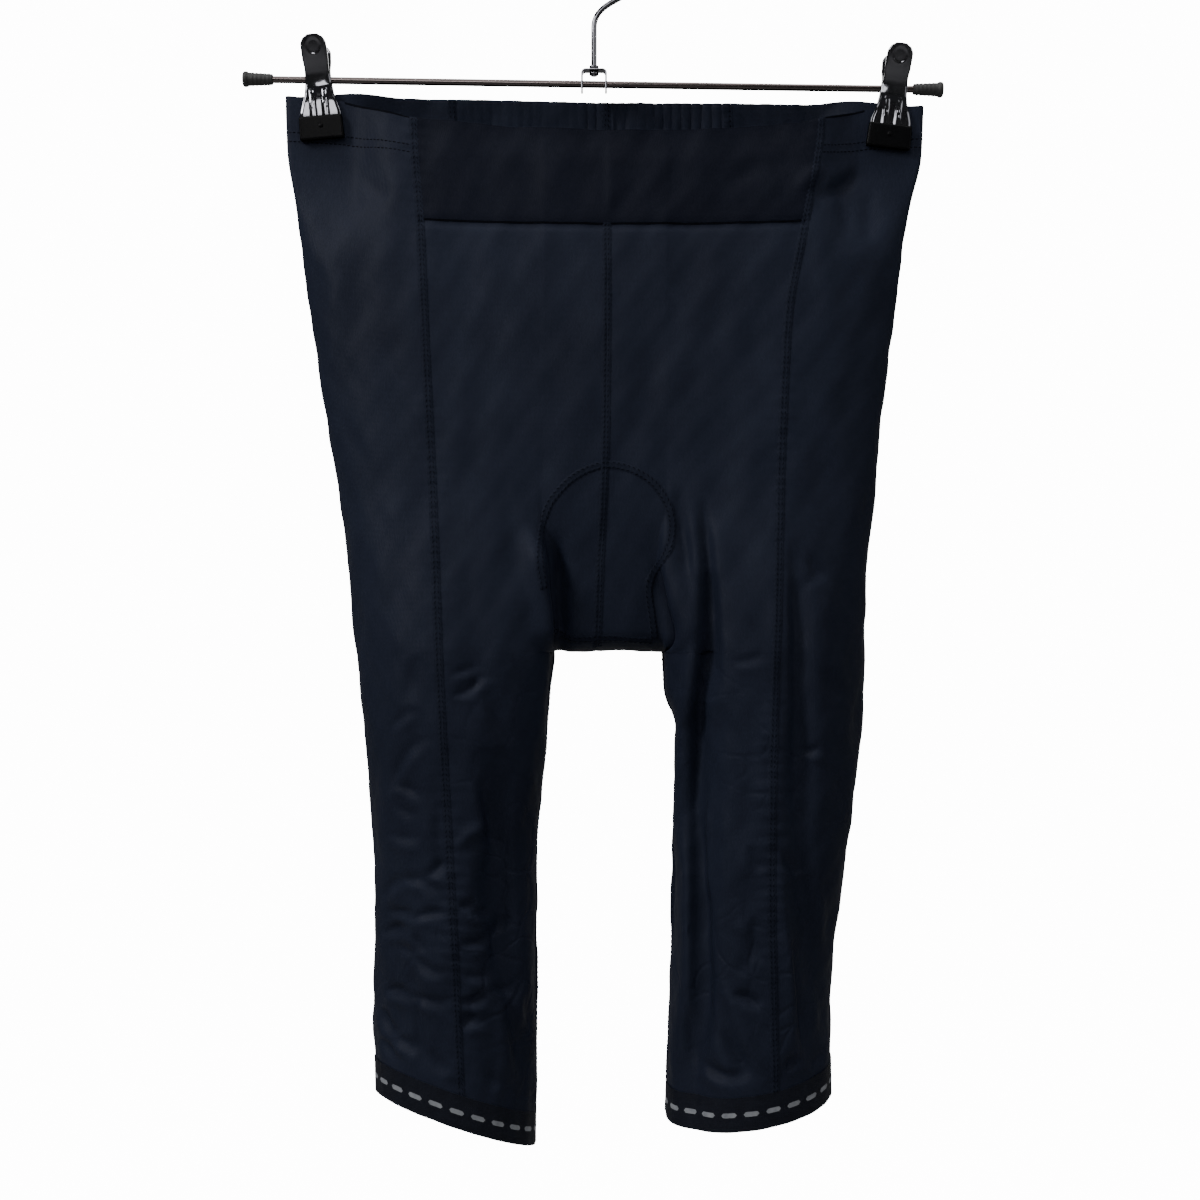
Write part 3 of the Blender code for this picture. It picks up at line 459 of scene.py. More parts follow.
# Creases in the cloth, on each half and face, seen from the front. A negative depth is a ridge.
CREASE_COLUMNS = ("x0", "z0", "x1", "z1", "bow", "depth", "width")
CREASES = {
    ("right", "front"): (
        (-81.6, -470, -65.5, -461, 2, 1.4, 2.8), (-70.1, -467, -64.4, -457, 0, 2, 3),
        (-82.8, -459, -65.5, -454, -1, 1.1, 2.6), (-117.4, -491, -104.1, -477, -1, 1.2, 2.8),
        (-117.4, -528, -97.8, -493, -4, 1.7, 3.2), (-115.6, -522, -97.8, -530, -2, 1.4, 3),
        (-111.6, -534, -103.5, -541, 0, 1.2, 3), (-120.8, -551, -98.9, -552, 1, 0.9, 3),
        (-123.1, -591, -110.4, -575, -2, 2, 3.2), (-111.6, -576, -96.6, -574, 1, 1.4, 3),
        (-97.8, -575, -84, -563, 1, 1.9, 3.2), (-101.2, -576, -85.1, -590, -2, 1.4, 3.5),
        (-120.8, -598, -103.5, -597, -1, 2.3, 3), (-105.8, -600, -84.5, -595, -2, 1.9, 3),
        (-125.4, -612, -105.8, -603, -1, 2, 3.2), (-103.5, -608, -97.8, -619, 0, 1.9, 3),
        (-114.5, -617, -101.2, -621, -1, 1.4, 3), (-102.4, -621, -85.1, -631, 2, 2, 3.2),
        (-105.8, -620, -102.4, -651, 1, 1.4, 3), (-103.5, -644, -95.5, -692, 1, 2.9, 3.4),
        (-123.1, -645, -107, -644, -2, 2.8, 3.4), (-107, -644, -84, -649, -1, 2, 3),
        (-124.3, -654, -116.2, -670, 1, 3.1, 3.5), (-125.4, -672, -109.3, -686, 1, 2.8, 3.4),
        (-113.9, -669, -103.5, -679, -2, 2.8, 4.5), (-78.2, -591, -67.8, -589, 1, 2.6, 3),
        (-77, -612, -58.6, -609, 2, 2.8, 3.2), (-73.6, -595, -57.5, -598, -1, 1.9, 3),
        (-56.3, -611, -51.7, -598, 1, 1.9, 3), (-74.7, -631, -58.6, -631, 1, 1.7, 3.2),
        (-77, -647, -60.9, -643, 1, 2.9, 3.4), (-76.5, -662, -65.5, -655, -2, 3.3, 4),
        (-59.8, -640, -47.1, -646, -2, 1.7, 3), (-49.4, -648, -38.4, -695, 1, 3.7, 4),
        (-58.6, -525, -49.4, -651, 2, 3.6, 9), (-65.5, -516, -52.8, -566, 1, 2.2, 3.5),
        (-79.3, -558, -58.6, -545, -3, -1.9, 4), (-62.1, -467, -45.9, -500, 1, 1.4, 4),
        (-102.4, -447, -104.7, -475, 1, 1.7, 5), (-89.7, -530, -87.4, -576, 0, 1.7, 4),
        (-40.2, -646, -36.7, -671, 0, 2, 3), (-85.1, -691, -75.9, -699, 0, 1.9, 3),
        (-60.9, -687, -55.2, -699, 0, 2, 3.4), (-94.3, -674, -85.1, -689, 1, 1.9, 4),
        (-72.5, -392, -61.9, -450, 3, 1, 6), (-54.9, -339, -43.2, -415, -3, 1.2, 7),
        (-114.6, -257, -107.5, -339, 3, 0.9, 9), (-72.5, -257, -66.6, -339, -3, 0.8, 9),
        (-135.6, -164, -120.4, -179, 2, 0.9, 5), (-142.7, -199, -129.8, -257, 3, 1, 9),
    ),
    ("left", "front"): (
        (63.3, -357, 66.2, -474, -2, 6.5, 4.5), (64.7, -438, 58.9, -576, 2, 6.8, 4.5),
        (59.5, -542, 61.2, -692, -3, 6.2, 4.5), (68.7, -522, 66.4, -591, 1, -1.6, 2.4),
        (55.4, -542, 57.7, -680, 0, -1.4, 2.8), (115.9, -380, 118.3, -556, -2, 4.2, 7),
        (108.4, -559, 118.8, -575, 1, 2.8, 3.4), (120, -530, 129.2, -651, 2, 3.4, 7),
        (106.1, -565, 125.7, -689, 3, -1.9, 3.4), (114.2, -611, 125.7, -688, 1, 3.7, 3.2),
        (120, -503, 131.5, -499, 1, 2, 2.8), (95.8, -499, 86.5, -559, 2, 1.8, 6),
        (90, -556, 96.9, -572, 1, 2, 3.5), (92.3, -597, 94.6, -624, 1, 2.2, 4),
        (81.4, -605, 87.1, -631, -3, 2, 6), (80.8, -641, 95.8, -650, -1, 3.3, 3.4),
        (75, -635, 100.4, -694, 2, -2.8, 4), (73.9, -663, 98.1, -693, 3, 2.6, 5),
        (62.4, -684, 88.8, -691, 2, 3.4, 4), (110.7, -688, 117.6, -679, 0, 2.3, 3.4),
        (125.7, -689, 136.1, -680, 1, 2.5, 3.4), (55.4, -651, 57.7, -687, 0, 2, 3),
        (124.1, -389, 133.5, -402, 1, 1.4, 3), (120.6, -408, 134.6, -399, -1, 1.2, 3),
        (134.9, -454, 145.3, -473, 2, 1.4, 4.5), (79.6, -451, 98.1, -446, 1, 1.1, 3),
        (99.2, -493, 102.7, -525, 0, 1.9, 4), (132.6, -634, 137.2, -679, 0, 2.2, 4),
        (48.1, -351, 62.1, -427, 2, 3.9, 5), (111.2, -368, 111.8, -509, 0, -1.2, 2.8),
        (72.7, -473, 77.3, -553, 3, 1, 6), (133.8, -576, 140.7, -623, -2, 1.6, 4),
        (69.1, -175, 124.1, -153, -4, 1, 7), (137, -162, 130, -179, 1, 2.5, 4),
        (160.4, -157, 132.3, -179, -2, 2.3, 4.5), (147.5, -164, 154.5, -210, 2, 1.3, 6),
        (120.6, -190, 127.6, -257, -3, 1.2, 8), (167.4, -164, 162.7, -205, 1, 1.2, 5),
        (73.8, -210, 82.6, -298, 3, 0.9, 9), (27, -216, 32.9, -310, -3, 0.8, 9),
        (97.2, -316, 104.2, -368, 2, 0.9, 7),
    ),
    ("right", "back"): (
        (-58, -430, -66, -650, 4, 3.4, 8), (-112, -470, -106, -680, -4, 2.9, 8),
        (-96, -560, -64, -548, 3, 2, 3.4), (-124, -590, -92, -602, -2, 2.2, 3.4),
        (-60, -604, -40, -618, 2, 1.9, 3.2), (-118, -640, -88, -632, 2, 2.5, 3.4),
        (-76, -650, -46, -642, -3, 2.3, 3.6), (-96, -662, -86, -698, 1, 2.8, 3.4),
        (-120, -668, -104, -690, -1, 2.5, 3.6), (-54, -660, -44, -700, 1, 3.1, 4),
        (-70, -500, -48, -488, 2, 1.6, 3.6), (-128, -520, -104, -508, 2, 1.4, 3.6),
        (-40, -330, -96, -380, 5, 2.1, 8), (-60, -250, -120, -300, 5, 1.3, 9),
        (-110, -180, -88, -230, 3, 1.3, 7), (-24, -400, -60, -452, -4, 2.6, 6),
        (-140, -240, -132, -420, 3, 1.3, 9),
    ),
    ("left", "back"): (
        (66, -430, 78, -660, 4, 3.6, 8), (124, -480, 116, -680, -4, 3.1, 8),
        (84, -540, 108, -528, 3, 1.9, 3.4), (100, -584, 134, -594, -2, 2.2, 3.4),
        (56, -612, 84, -600, 2, 2, 3.2), (92, -636, 128, -628, 2, 2.3, 3.4),
        (60, -652, 84, -662, -2, 2.3, 3.6), (98, -656, 108, -690, 1, 2.8, 3.4),
        (122, -660, 134, -684, -1, 2.3, 3.6), (62, -664, 72, -690, 1, 2.8, 4),
        (60, -490, 92, -478, 2, 1.4, 3.6), (52, -340, 104, -384, -5, 2.1, 8),
        (70, -252, 132, -300, -5, 1.3, 9), (118, -182, 96, -232, 3, 1.3, 7),
        (36, -400, 70, -452, 4, 2.6, 6), (150, -250, 142, -420, -3, 1.3, 9),
    ),
}

# Form of a crease: how it fades to its ends, its width at its start and the widening to its end,
# and the raised shoulder on one side, in shares of its width and depth
CREASE_FADE = 0.8
CREASE_START_WIDTH = 0.7
CREASE_WIDENING = 0.5
SHOULDER_PLACE = 1.9
SHOULDER_WIDTH = 1.2
SHOULDER_HEIGHT = 0.45

# How far a face is from the hanger's plane where its creases start and are at their full depth
CREASE_FACING = (0.5, 6.0)

# Small puckers beside the long seams
PUCKER_REACH = 9.0
PUCKER_DEPTH = 0.28
PUCKER_PITCH = 7.5

# Soft unevenness all over: depth, length along x, length along z, phase
WAVES = (
    (0.70, 58.0, 190.0, 0.4),
    (0.50, 31.0, 120.0, 1.9),
    (0.34, 23.0, 64.0, 4.1),
    (0.28, 47.0, 37.0, 2.7),
    (0.16, 15.0, 21.0, 0.9),
)

# The thigh's cloth beside the pad: how far it swells over the pad and where, how deep the hollow
# between them is, where it runs at its top and bottom, and the height that it starts from
THIGH_FOLD_COLUMNS = ("swell", "place", "hollow", "top", "bottom", "width", "start")
THIGH_FOLD = {
    "right": (7.0, 11.0, 7.0, -3.5, -4.0, 4.6, -372.0),
    "left": (2.5, 20.0, 14.0, 3.0, 10.5, 3.0, -392.0),
}
SWELL_WIDTH = 6.0
FOLD_FADE_LOW = (-6.0, 14.0)
FOLD_FADE_HIGH = 24.0

# Ripples above the hem bands, and the fold under the waist yoke
HEM_PITCH = 15.0
HEM_DEPTH = 0.8
HEM_REACH = 16.0
YOKE_GROOVE_DEPTH = 1.1
YOKE_GROOVE_WIDTH = 2.2
# Half width and relief across the thin dark strips that paint the shadow along the yoke's fold and the
# waist's top edge
PAINTED_SHADOW_HALF = 0.65
PAINTED_SHADOW_RELIEF = (0.05, 0.30, 0.05)

# Gathers of the elastic inside the back of the waist
GATHER_PITCH = 5.6
GATHER_DEPTH = 0.7
GATHER_END = -152.0
GATHER_FADE = 22.0
GATHER_WEAK_SHARE = 0.3
GATHER_ACROSS = (-30.0, 12.0)

# Sewing
SEAM_HALF = 3.0
SEAM_HEIGHT = 0.55
SEAM_STEPS = 13
PAD_SEAM_HALF = 2.8
PAD_SEAM_STEPS = 9
PATH_STEP = 1.5
INSIDE_SEAM_END = -165.0
CENTRE_SEAM_END = CROTCH + 3.0
SAMPLE_STEP = 0.75
SEAM_EDGE_DROP = 0.2
HOLE_DEPTH = 0.32
HOLE_PLACE = 0.78
HOLE_WIDTH = 0.55
GROOVE_DEPTH = 0.22
GROOVE_WIDTH = 0.4
STITCH_PITCH = 3.0
STITCH_LENGTH = 2.1
STITCH_HALF = 0.28
STITCH_HEIGHT = 0.3
STITCH_SHOULDER = 0.28
ROW_STITCH_PITCH = 2.7
ROW_STITCH_LIFT = 0.02
LADDER_ASIDE = 1.15
LADDER_SLANT = 0.45
LADDER_SINK = 0.12


def smoothstep(value, start, end):
    """Goes from 0 at start to 1 at end."""
    share = np.clip((value - start) / (end - start), 0.0, 1.0)
    return share * share * (3.0 - 2.0 * share)


def read_table(table, columns, column, z):
    """A column of a table at height z, on a smooth curve through its rows."""
    rows = np.array(table, dtype=float)[::-1]
    heights = rows[:, 0]
    values = rows[:, columns.index(column)]
    steps = np.diff(values) / np.diff(heights)
    slopes = np.zeros(len(values))
    for i in range(1, len(values) - 1):
        if steps[i - 1] * steps[i] > 0:
            slopes[i] = 2.0 * steps[i - 1] * steps[i] / (steps[i - 1] + steps[i])
    i = int(np.clip(np.searchsorted(heights, z) - 1, 0, len(steps) - 1))
    span = heights[i + 1] - heights[i]
    t = np.clip((z - heights[i]) / span, 0.0, 1.0)
    bend = t * (1.0 - t) * span * (slopes[i] * (1.0 - t) - slopes[i + 1] * t)
    ease = t * t * (3.0 - 2.0 * t)
    return float(values[i] + (values[i + 1] - values[i]) * ease + bend)


def path_lengths(points):
    """The distance of each point of a plane path from its start."""
    return np.concatenate(([0.0], np.cumsum(np.hypot(*np.diff(points, axis=0).T))))


def sample(wanted, places, values):
    """Rows of values at wanted places, between rows at known places."""
    return np.column_stack([np.interp(wanted, places, column) for column in values.T])


def leg_edges(half, z):
    """The inner and outer edge of a half at height z."""
    return [read_table(OUTLINE[half], OUTLINE_COLUMNS, name, z) for name in ("inner", "outer")]


def quarter(start, end, axis_first):
    """A quarter of an ellipse between two points, leaving start along x if axis_first is 0."""
    angle = np.linspace(0.0, math.pi / 2, SECTION_STEPS["quarter"] + 1)[1:]
    rise = np.sin(angle)
    fall = 1.0 - np.cos(angle)
    x_share, y_share = (rise, fall) if axis_first == 0 else (fall, rise)
    x = start[0] + (end[0] - start[0]) * x_share
    y = start[1] + (end[1] - start[1]) * y_share
    return np.column_stack((x, y))


def straight(start, end, steps):
    """Points at equal distances on a line, without its start."""
    share = np.linspace(0.0, 1.0, SECTION_STEPS[steps] + 1)[1:, None]
    return np.array(start) + (np.array(end) - np.array(start)) * share


def smooth_open(points, centre):
    """Rounds the corners of a half section whose two ends lie on the centre seams."""
    for _ in range(SMOOTHING_PASSES):
        first = points[1] * (-1, 1) + (2 * centre, 0)
        last = points[-2] * (-1, 1) + (2 * centre, 0)
        padded = np.vstack((first, points, last))
        points = (padded[:-2] + 2 * padded[1:-1] + padded[2:]) / 4
    return points


def smooth_closed(points):
    """Rounds the corners of a leg's ring, whose first and last points are the same."""
    ring = points[:-1]
    for _ in range(SMOOTHING_PASSES):
        ring = (np.roll(ring, 1, axis=0) + 2 * ring + np.roll(ring, -1, axis=0)) / 4
    return np.vstack((ring, ring[:1]))


def press_waist(half, z, points):
    """Flattens the waist between a clip's jaws."""
    distance = np.abs(points[:, 0] - JAW_X[half])
    across = 1.0 - smoothstep(distance, PRESSED_WIDTH, PRESSED_WIDTH + PRESSED_FADE)
    share = across * smoothstep(z, PRESSED_END, PRESSED_BOTTOM)
    flat = np.clip(points[:, 1], -PRESSED_HALF, PRESSED_HALF)
    pressed = points.copy()
    pressed[:, 1] = points[:, 1] * (1 - share) + flat * share
    return pressed


def add_folds(half, z, points, first_back):
    """Pushes the folds' troughs into the faces that they lie on."""
    folded = points.copy()
    for row in FOLDS:
        fold = dict(zip(FOLD_COLUMNS, row))
        if fold["half"] != half or not fold["bottom_z"] < z < fold["top_z"]:
            continue
        share = (fold["top_z"] - z) / (fold["top_z"] - fold["bottom_z"])
        line = fold["top_x"] + (fold["bottom_x"] - fold["top_x"]) * share
        push = fold["depth"] * math.sin(math.pi * share) ** 0.5
        amount = push * np.exp(-(((points[:, 0] - line) / fold["width"]) ** 2))
        amount *= smoothstep(np.abs(points[:, 1]), 0.0, FOLD_EDGE)
        if fold["face"] == "front":
            folded[:first_back, 1] += amount[:first_back]
        else:
            folded[first_back:, 1] -= amount[first_back:]
    return folded


def section(half, z):
    """One half of the tights in plan at height z: its points, and the ends of its stretches.

    It runs from the centre-front seam round the outside to the centre-back seam. Below the
    crotch it is the leg's closed ring, and the two bridge stretches lie on the ring's seam.
    """
    body = {name: read_table(BODY, BODY_COLUMNS, name, z) for name in BODY_COLUMNS[1:]}
    inner, outer = leg_edges(half, z)
    crown = (inner + outer) / 2
    closed = z <= CROTCH
    tuck = 0.0 if closed else 1.0
    if CROTCH < z < CROTCH + CROTCH_ROUNDING:
        tuck = math.sqrt(1.0 - ((CROTCH + CROTCH_ROUNDING - z) / CROTCH_ROUNDING) ** 2)
    keep = 1.0 - INNER_TAPER * float(smoothstep(-z, -CROTCH, -INNER_END))
    mid_front, mid_back = body["mid_front"] * keep, body["mid_back"] * keep
    front_start, back_end = (inner, -mid_front * tuck), (inner, mid_back * tuck)
    quarters = np.vstack(
        (
            [front_start],
            straight(front_start, (inner, -mid_front), "inner"),
            quarter((inner, -mid_front), (crown, -body["front"]), 1),
            quarter((crown, -body["front"]), (outer, 0.0), 0),
            quarter((outer, 0.0), (crown, body["back"]), 1),
            quarter((crown, body["back"]), (inner, mid_back), 0),
            straight((inner, mid_back), back_end, "inner"),
        )
    )
    bridge = SECTION_STEPS["bridge"]
    if closed:
        ring = smooth_closed(quarters)
        seam = ring[0]
        start = (body["centre"], 0.0) if z == CROTCH else seam
        front = np.vstack(([start], straight(start, seam, "bridge")))
        points = np.vstack((front, ring[1:], straight(seam, start, "bridge")))
    else:
        front_centre = (body["centre"], -mid_front * tuck)
        back_centre = (body["centre"], mid_back * tuck)
        front = np.vstack(([front_centre], straight(front_centre, quarters[0], "bridge")))
        points = np.vstack((front, quarters[1:], straight(quarters[-1], back_centre, "bridge")))
        points = smooth_open(points, body["centre"])
    tip = bridge + SECTION_STEPS["inner"] + 2 * SECTION_STEPS["quarter"]
    points = press_waist(half, z, add_folds(half, z, points, tip))
    seams = seam_places(half, z, points, tip)
    clips = [place_from(points, tip, distance) for distance in (-CLIP_STRETCH, CLIP_STRETCH)]
    last = len(points) - 1
    return points, [0, bridge, seams[0], clips[0], tip, clips[1], seams[1], last - bridge, last]


def place_from(points, place, distance):
    """The place on a section at a distance along it from another."""
    length = path_lengths(points)
    return float(np.interp(length[place] + distance, length, np.arange(len(points))))


def seam_places(half, z, points, tip):
    """Where along a section's points the side-front and side-back seams cross it."""
    places = []
    bridge = SECTION_STEPS["bridge"]
    last = len(points) - 1
    for name, inner_places, outward in (
        ("side_front", range(bridge, tip), 1),
        ("side_back", range(last - bridge, tip, -1), -1),
    ):
        wanted = abs(read_table(SEAMS[half], SEAM_COLUMNS, name, z))
        for near in inner_places:
            far = near + outward
            a, b = abs(points[near, 0]), abs(points[far, 0])
            if a <= wanted < b:
                places.append(near + outward * (wanted - a) / (b - a))
                break
    return places


def along(points, start, end, count):
    """Points at equal distances along a section between two places on it."""
    index = np.arange(len(points), dtype=float)
    inside = index[(index > start) & (index < end)]
    places = np.concatenate(([start], inside, [end]))
    stretch = sample(places, index, points)
    length = path_lengths(stretch)
    if length[-1] == 0.0:
        return np.repeat(stretch[:1], count + 1, axis=0)
    wanted = np.linspace(0.0, length[-1], count + 1)
    return sample(wanted, length, stretch)


def height(half, z, points, tip_column):
    """The true height of each point of the level z, with the waist's sag and the hem's slant."""
    centre = read_table(BODY, BODY_COLUMNS, "centre", z)
    front = read_table(BODY, BODY_COLUMNS, "front", z)
    inner, outer = leg_edges(half, z)
    share = np.abs(points[:, 0] - centre) / abs(outer - centre)
    sag = np.interp(share, SAG_SHARE, SAG_DROP)
    edge = smoothstep(share[tip_column:], BACK_EDGE_START, 1.0)
    sag[tip_column:] = SAG_DROP[-1] * edge + BACK_RISE * (1.0 - edge)
    sag += BAR_SLOPE * points[:, 0]
    outward = (points[:, 0] - (inner + outer) / 2) / ((outer - inner) / 2)
    slant = HEM_OUTER[half] * outward - HEM_FRONT[half] * points[:, 1] / front
    sag *= np.interp(z, SAG_LEVEL, SAG_KEPT)
    return z + sag + slant * smoothstep(z, HEM_START, CUFF_TOP[half])


def level_heights(half):
    """The heights of the fine rows, and the last row of each band of the garment."""
    turn = np.linspace(0, math.pi / 2, TUCK_ROWS + 1)
    tuck = [CROTCH + CROTCH_ROUNDING * (1 - math.sin(a)) for a in turn]
    rows = [WAIST_TOP]
    ends = {}
    bands = (
        ("casing", WAIST_TOP, WAIST_TOP - CASING_DEPTH),
        ("yoke", WAIST_TOP - CASING_DEPTH, YOKE_LINE),
        ("front", YOKE_LINE, PAD_TOP),
        ("pad", PAD_TOP, tuck[0]),
    )
    for name, start, end in bands:
        count = round((start - end) / ROW_STEP)
        rows += list(np.linspace(start, end, count + 1)[1:])
        ends[name] = len(rows) - 1
    rows += tuck[1:]
    rows[-1] = CROTCH
    ends["crotch"] = len(rows) - 1
    rows += list(np.linspace(CROTCH, CUFF_TOP[half], LEG_ROWS + 1)[1:])
    ends["leg"] = len(rows) - 1
    rows += list(np.linspace(CUFF_TOP[half], CUFF_TOP[half] - CUFF_DEPTH, CUFF_ROWS + 1)[1:])
    ends["cuff"] = len(rows) - 1
    return rows, ends


def column_ends():
    """The first and last column of each stretch, and the number of the last column."""
    ends = {}
    column = 0
    for name, count in STRETCHES:
        ends[name] = (column, column + count)
        column += count
    return ends, column


COLUMNS, LAST_COLUMN = column_ends()
TIP_COLUMN = COLUMNS["clip_front"][1]
FRONT_COLUMNS = (np.arange(LAST_COLUMN + 1) <= TIP_COLUMN)[None, :]


def half_grid(half):
    """The outer face of one half as rows and columns of points, without its creases."""
    rows, _ = level_heights(half)
    grid = []
    for z in rows:
        points, places = section(half, z)
        parts = []
        for (_, count), start, end in zip(STRETCHES, places[:-1], places[1:]):
            stretch = along(points, start, end, count)
            parts.append(stretch if not parts else stretch[1:])
        row = np.vstack(parts)
        grid.append(np.column_stack((row, height(half, z, row, TIP_COLUMN))))
    return np.array(grid)


def crease_depth(x, z, crease):
    """How deep one crease is at points seen from the front."""
    start = np.array((crease["x0"], crease["z0"]), dtype=float)
    run = np.array((crease["x1"], crease["z1"]), dtype=float) - start
    length = np.linalg.norm(run)
    run /= length
    along_run = (x - start[0]) * run[0] + (z - start[1]) * run[1]
    share = along_run / length
    aside = (x - start[0]) * run[1] - (z - start[1]) * run[0]
    aside = aside - crease["bow"] * 4.0 * share * (1.0 - share)
    inside = np.clip(share, 0.0, 1.0)
    fade = np.sin(math.pi * inside) ** CREASE_FADE * (share > 0) * (share < 1)
    width = crease["width"] * (CREASE_START_WIDTH + CREASE_WIDENING * inside)
    trough = np.exp(-((aside / width) ** 2))
    shoulder = np.exp(-(((aside - SHOULDER_PLACE * width) / (SHOULDER_WIDTH * width)) ** 2))
    return crease["depth"] * fade * (trough - SHOULDER_HEIGHT * shoulder)


def soft_waves(half, x, z):
    """Low unevenness that keeps a wide panel from looking machined."""
    shift = 0.0 if half == "right" else 2.3
    total = np.zeros_like(x)
    for depth, x_length, z_length, phase in WAVES:
        bend = 1.7 * np.sin(z / (2.3 * z_length) + phase + shift)
        total += depth * np.sin(2 * math.pi * x / x_length + bend + 1.3 * phase + shift) * np.sin(
            2 * math.pi * z / z_length + 0.8 * np.sin(x / x_length + phase) + 2.1 * phase
        )
    return total


def thigh_folds(half, grid, lengths):
    """The thigh's cloth swelling over the edge of the pad, in front, with the hollow beside it."""
    inner = COLUMNS["front"][0]
    aside = lengths - lengths[:, inner : inner + 1]
    z = grid[:, :, 2]
    fold = dict(zip(THIGH_FOLD_COLUMNS, THIGH_FOLD[half]))
    reach = smoothstep(z, *(CROTCH + rise for rise in FOLD_FADE_LOW))
    reach *= 1.0 - smoothstep(z, fold["start"] - FOLD_FADE_HIGH, fold["start"])
    swell = fold["swell"] * np.exp(-(((aside - fold["place"]) / SWELL_WIDTH) ** 2))
    place = np.interp(z, (CROTCH, fold["start"]), (fold["bottom"], fold["top"]))
    hollow = fold["hollow"] * np.exp(-(((aside - place) / fold["width"]) ** 2))
    return (swell - hollow) * reach * FRONT_COLUMNS


def row_lengths(grid):
    """The distance of each point along its row from the row's first point."""
    steps = np.linalg.norm(np.diff(grid, axis=1), axis=2)
    return np.concatenate((np.zeros((len(grid), 1)), np.cumsum(steps, axis=1)), axis=1)


def puckers(half, grid, lengths):
    """Short uneven ripples across each long seam."""
    z = grid[:, :, 2]
    total = np.zeros_like(z)
    seams = (COLUMNS["side_front"][0], COLUMNS["side_back"][1])
    for k, column in enumerate(seams):
        aside = lengths - lengths[:, column : column + 1]
        run = z[:, column : column + 1]
        phase = run / PUCKER_PITCH * 2 * math.pi + 2.2 * np.sin(run / 19.0 + k) + 0.05 * np.abs(aside)
        strength = 0.55 + 0.45 * np.sin(run / 37.0 + 2.0 * k + len(half))
        total += PUCKER_DEPTH * strength * np.sin(phase) * np.exp(-((aside / PUCKER_REACH) ** 2))
    return total


def hem_ripples(half, lengths, level):
    """The short ripples that the hem band draws into the cloth above it."""
    run = lengths - lengths[:, TIP_COLUMN : TIP_COLUMN + 1]
    above = np.clip(level - CUFF_TOP[half], 0.0, None)
    ripple = np.sin(2 * math.pi * run / HEM_PITCH + 1.6 * np.sin(run / 19.0) + 0.06 * above)
    strength = 0.6 + 0.4 * np.sin(run / 31.0 + len(half))
    return HEM_DEPTH * strength * ripple * np.exp(-((above / HEM_REACH) ** 2))


def yoke_groove(half, level):
    """The crisp fold at the lower edge of the waist yoke."""
    seam = level[level_heights(half)[1]["yoke"], 0]
    columns = (np.arange(LAST_COLUMN + 1) <= COLUMNS["front"][1])[None, :]
    below = (level - seam + YOKE_GROOVE_WIDTH) / YOKE_GROOVE_WIDTH
    return -YOKE_GROOVE_DEPTH * np.exp(-(below**2)) * columns


def gathers(grid, lengths):
    """The ripples that the elastic draws into the back of the waist, most on the wearer's left."""
    x, z = grid[:, :, 0], grid[:, :, 2]
    column = np.arange(LAST_COLUMN + 1)[None, :]
    back = smoothstep(column, COLUMNS["side_back"][0], COLUMNS["side_back"][0] + 8)
    from_centre = lengths[:, -1:] - lengths
    wander = 1.1 * np.sin(from_centre / 17.0) + 0.5 * np.sin(from_centre / 7.0 + 1.0)
    ripple = np.sin(2 * math.pi * from_centre / GATHER_PITCH + wander)
    left = smoothstep(x, *GATHER_ACROSS)
    strength = GATHER_DEPTH * (GATHER_WEAK_SHARE + (1.0 - GATHER_WEAK_SHARE) * left)
    return strength * ripple * back * smoothstep(z, GATHER_END, GATHER_END + GATHER_FADE)


def displacement(half, grid):
    """How far each point of a half moves out along its normal, with every crease and ripple."""
    x, z = grid[:, :, 0], grid[:, :, 2]
    lengths = row_lengths(grid)
    facing = smoothstep(np.abs(grid[:, :, 1]), *CREASE_FACING)
    creases = np.zeros_like(x)
    for face, columns in (("front", FRONT_COLUMNS), ("back", ~FRONT_COLUMNS)):
        for row in CREASES[half, face]:
            crease = dict(zip(CREASE_COLUMNS, row))
            creases += crease_depth(x, z, crease) * facing * columns
    from_jaw = np.hypot(x - JAW_X[half], (z - JAW_MIDDLE) * JAW_CALM_STRETCH)
    total = soft_waves(half, lengths - lengths[:, TIP_COLUMN : TIP_COLUMN + 1], z)
    total += puckers(half, grid, lengths) + gathers(grid, lengths) + thigh_folds(half, grid, lengths)
    level = np.array(level_heights(half)[0])[:, None]
    total += hem_ripples(half, lengths, level) + yoke_groove(half, level)
    calm = smoothstep(np.abs(x - JAW_X[half]), PRESSED_WIDTH, PRESSED_WIDTH + PRESSED_FADE)
    pressed = 1.0 - (1.0 - calm) * smoothstep(level, PRESSED_END, PRESSED_BOTTOM)
    above_cuff = smoothstep(level, CUFF_TOP[half], CUFF_TOP[half] + CUFF_CALM)
    creases *= smoothstep(from_jaw, JAW_CALM, JAW_CALM + JAW_CALM_FADE)
    return (total * pressed - creases) * (CUFF_SHARE + (1.0 - CUFF_SHARE) * above_cuff)


